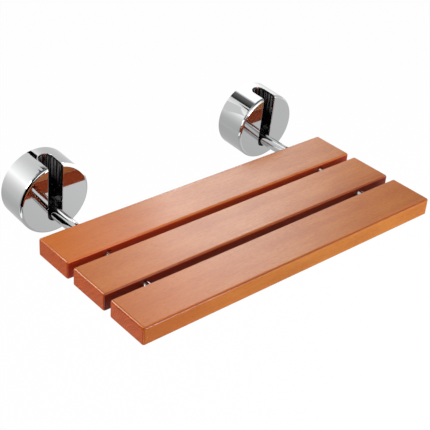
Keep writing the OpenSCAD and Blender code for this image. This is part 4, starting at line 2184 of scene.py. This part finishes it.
    def build_world(self) -> None:
        """Light the room evenly, and give reflections a studio to show."""
        world = bpy.data.worlds.new("studio")
        bpy.context.scene.world = world
        graph = empty_graph(world)
        rays = graph.add("ShaderNodeLightPath")
        place = graph.add("ShaderNodeTexCoord").outputs["Generated"]
        look = graph.parts(place)
        height = graph.calc("ARCSINE", look[2])
        share = graph.calc("MULTIPLY_ADD", height, 1 / math.pi, 0.5)
        most = max(bright for _, bright in self.sky)
        stops = [(angle / 180.0 + 0.5, (bright / most,) * 3) for angle, bright in self.sky]
        shaded = graph.spread(look[0], *self.shade_span, most * self.shade, most)
        shown = graph.calc("MULTIPLY", graph.ramp(share, stops), shaded)
        toward = graph.vector("DOT_PRODUCT", place, self.fill_from).outputs["Value"]
        soft = graph.spread(toward, -1.0, 1.0, *self.fill)
        soft, mirrored, white = (
            graph.add("ShaderNodeBackground", {"Color": WHITE, "Strength": strength})
            for strength in (soft, shown, 1.0)
        )
        on_gloss = {0: rays.outputs["Is Glossy Ray"], 1: soft, 2: mirrored}
        glossy = graph.add("ShaderNodeMixShader", on_gloss)
        clear = graph.calc(
            "MAXIMUM", rays.outputs["Is Camera Ray"], rays.outputs["Is Transmission Ray"]
        )
        seen = graph.add("ShaderNodeMixShader", {0: clear, 1: glossy, 2: white})
        graph.add("ShaderNodeOutputWorld", {"Surface": seen})

    def build_floor(self) -> None:
        """Lay a plain pale floor that is white to the camera but keeps the shadow."""
        mesh = bpy.data.meshes.new("floor")
        half = self.floor_size / 2
        plan = [(-half, -half), (half, -half), (half, half), (-half, half)]
        mesh.from_pydata([(x, y, self.floor_z) for x, y in plan], [], [(0, 1, 2, 3)])
        floor = new_object("floor", mesh)
        material = bpy.data.materials.new("pale_floor")
        graph = empty_graph(material)
        rays = graph.add("ShaderNodeLightPath")
        matt = graph.add("ShaderNodeBsdfDiffuse", {"Color": opaque((self.floor_grey,) * 3)})
        white = graph.add("ShaderNodeEmission", {"Color": WHITE})
        share = graph.calc("MULTIPLY", rays.outputs["Is Camera Ray"], self.floor_glow)
        seen = graph.add("ShaderNodeMixShader", {0: share, 1: matt, 2: white})
        graph.add("ShaderNodeOutputMaterial", {"Surface": seen})
        mesh.materials.append(material)
        floor.visible_glossy = False

    def build_lamp(self, lamp: Lamp) -> None:
        """Hang one soft lamp.

        Args:
            lamp: which lamp.
        """
        data = bpy.data.lights.new(lamp.name, "AREA")
        data.shape = "RECTANGLE"
        data.size, data.size_y = lamp.size
        data.energy = lamp.power
        made = bpy.data.objects.new(lamp.name, data)
        made.matrix_world = facing(lamp.centre, lamp.target)
        made.visible_glossy = lamp.glossy
        made.visible_diffuse = lamp.diffuse
        made.visible_camera = False
        bpy.context.scene.collection.objects.link(made)

    def build_card(self, card: Card) -> None:
        """Stand one card.

        Args:
            card: which card.
        """
        corner, along, across = (Vector(v) for v in (card.corner, card.along, card.across))
        mesh = bpy.data.meshes.new(card.name)
        ring = (corner, corner + along, corner + along + across, corner + across)
        mesh.from_pydata([tuple(v) for v in ring], [], [(0, 1, 2, 3)])
        made = new_object(card.name, mesh)
        material = bpy.data.materials.new(card.name)
        graph = empty_graph(material)
        place = graph.add("ShaderNodeTexCoord").outputs["Object"]
        way = tuple(along / along.length_squared)
        share = graph.vector("DOT_PRODUCT", graph.vector("SUBTRACT", place, card.corner), way)
        most, steps = max(*card.levels, self.least_glow), max(len(card.levels) - 1, 1)
        stops = [(i / steps, (level / most,) * 3) for i, level in enumerate(card.levels)]
        colour = graph.ramp(share.outputs["Value"], stops)
        glow = graph.add("ShaderNodeEmission", {"Color": colour, "Strength": most})
        graph.add("ShaderNodeOutputMaterial", {"Surface": glow})
        mesh.materials.append(material)
        made.visible_camera = False
        made.visible_shadow = False
        made.visible_transmission = False
        made.visible_diffuse = False

    def build_camera(self) -> None:
        """Set the camera at the photograph's viewpoint."""
        data = bpy.data.cameras.new("camera")
        data.lens, data.sensor_width = self.lens, self.sensor
        made = bpy.data.objects.new("camera", data)
        right, up = Vector(self.right).normalized(), Vector(self.up).normalized()
        back = right.cross(up).normalized()
        up = back.cross(right)
        pose = Matrix((right, up, back)).transposed().to_4x4()
        pose.translation = self.eye
        made.matrix_world = pose
        bpy.context.scene.collection.objects.link(made)
        bpy.context.scene.camera = made


def main() -> None:
    """Build the seat in its studio."""
    logging.basicConfig(level=logging.INFO, format="%(name)s: %(message)s")
    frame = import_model()
    Bracket().build(frame["nodes"])
    Seat().build()
    Studio().build()


if __name__ == "__main__":
    main()
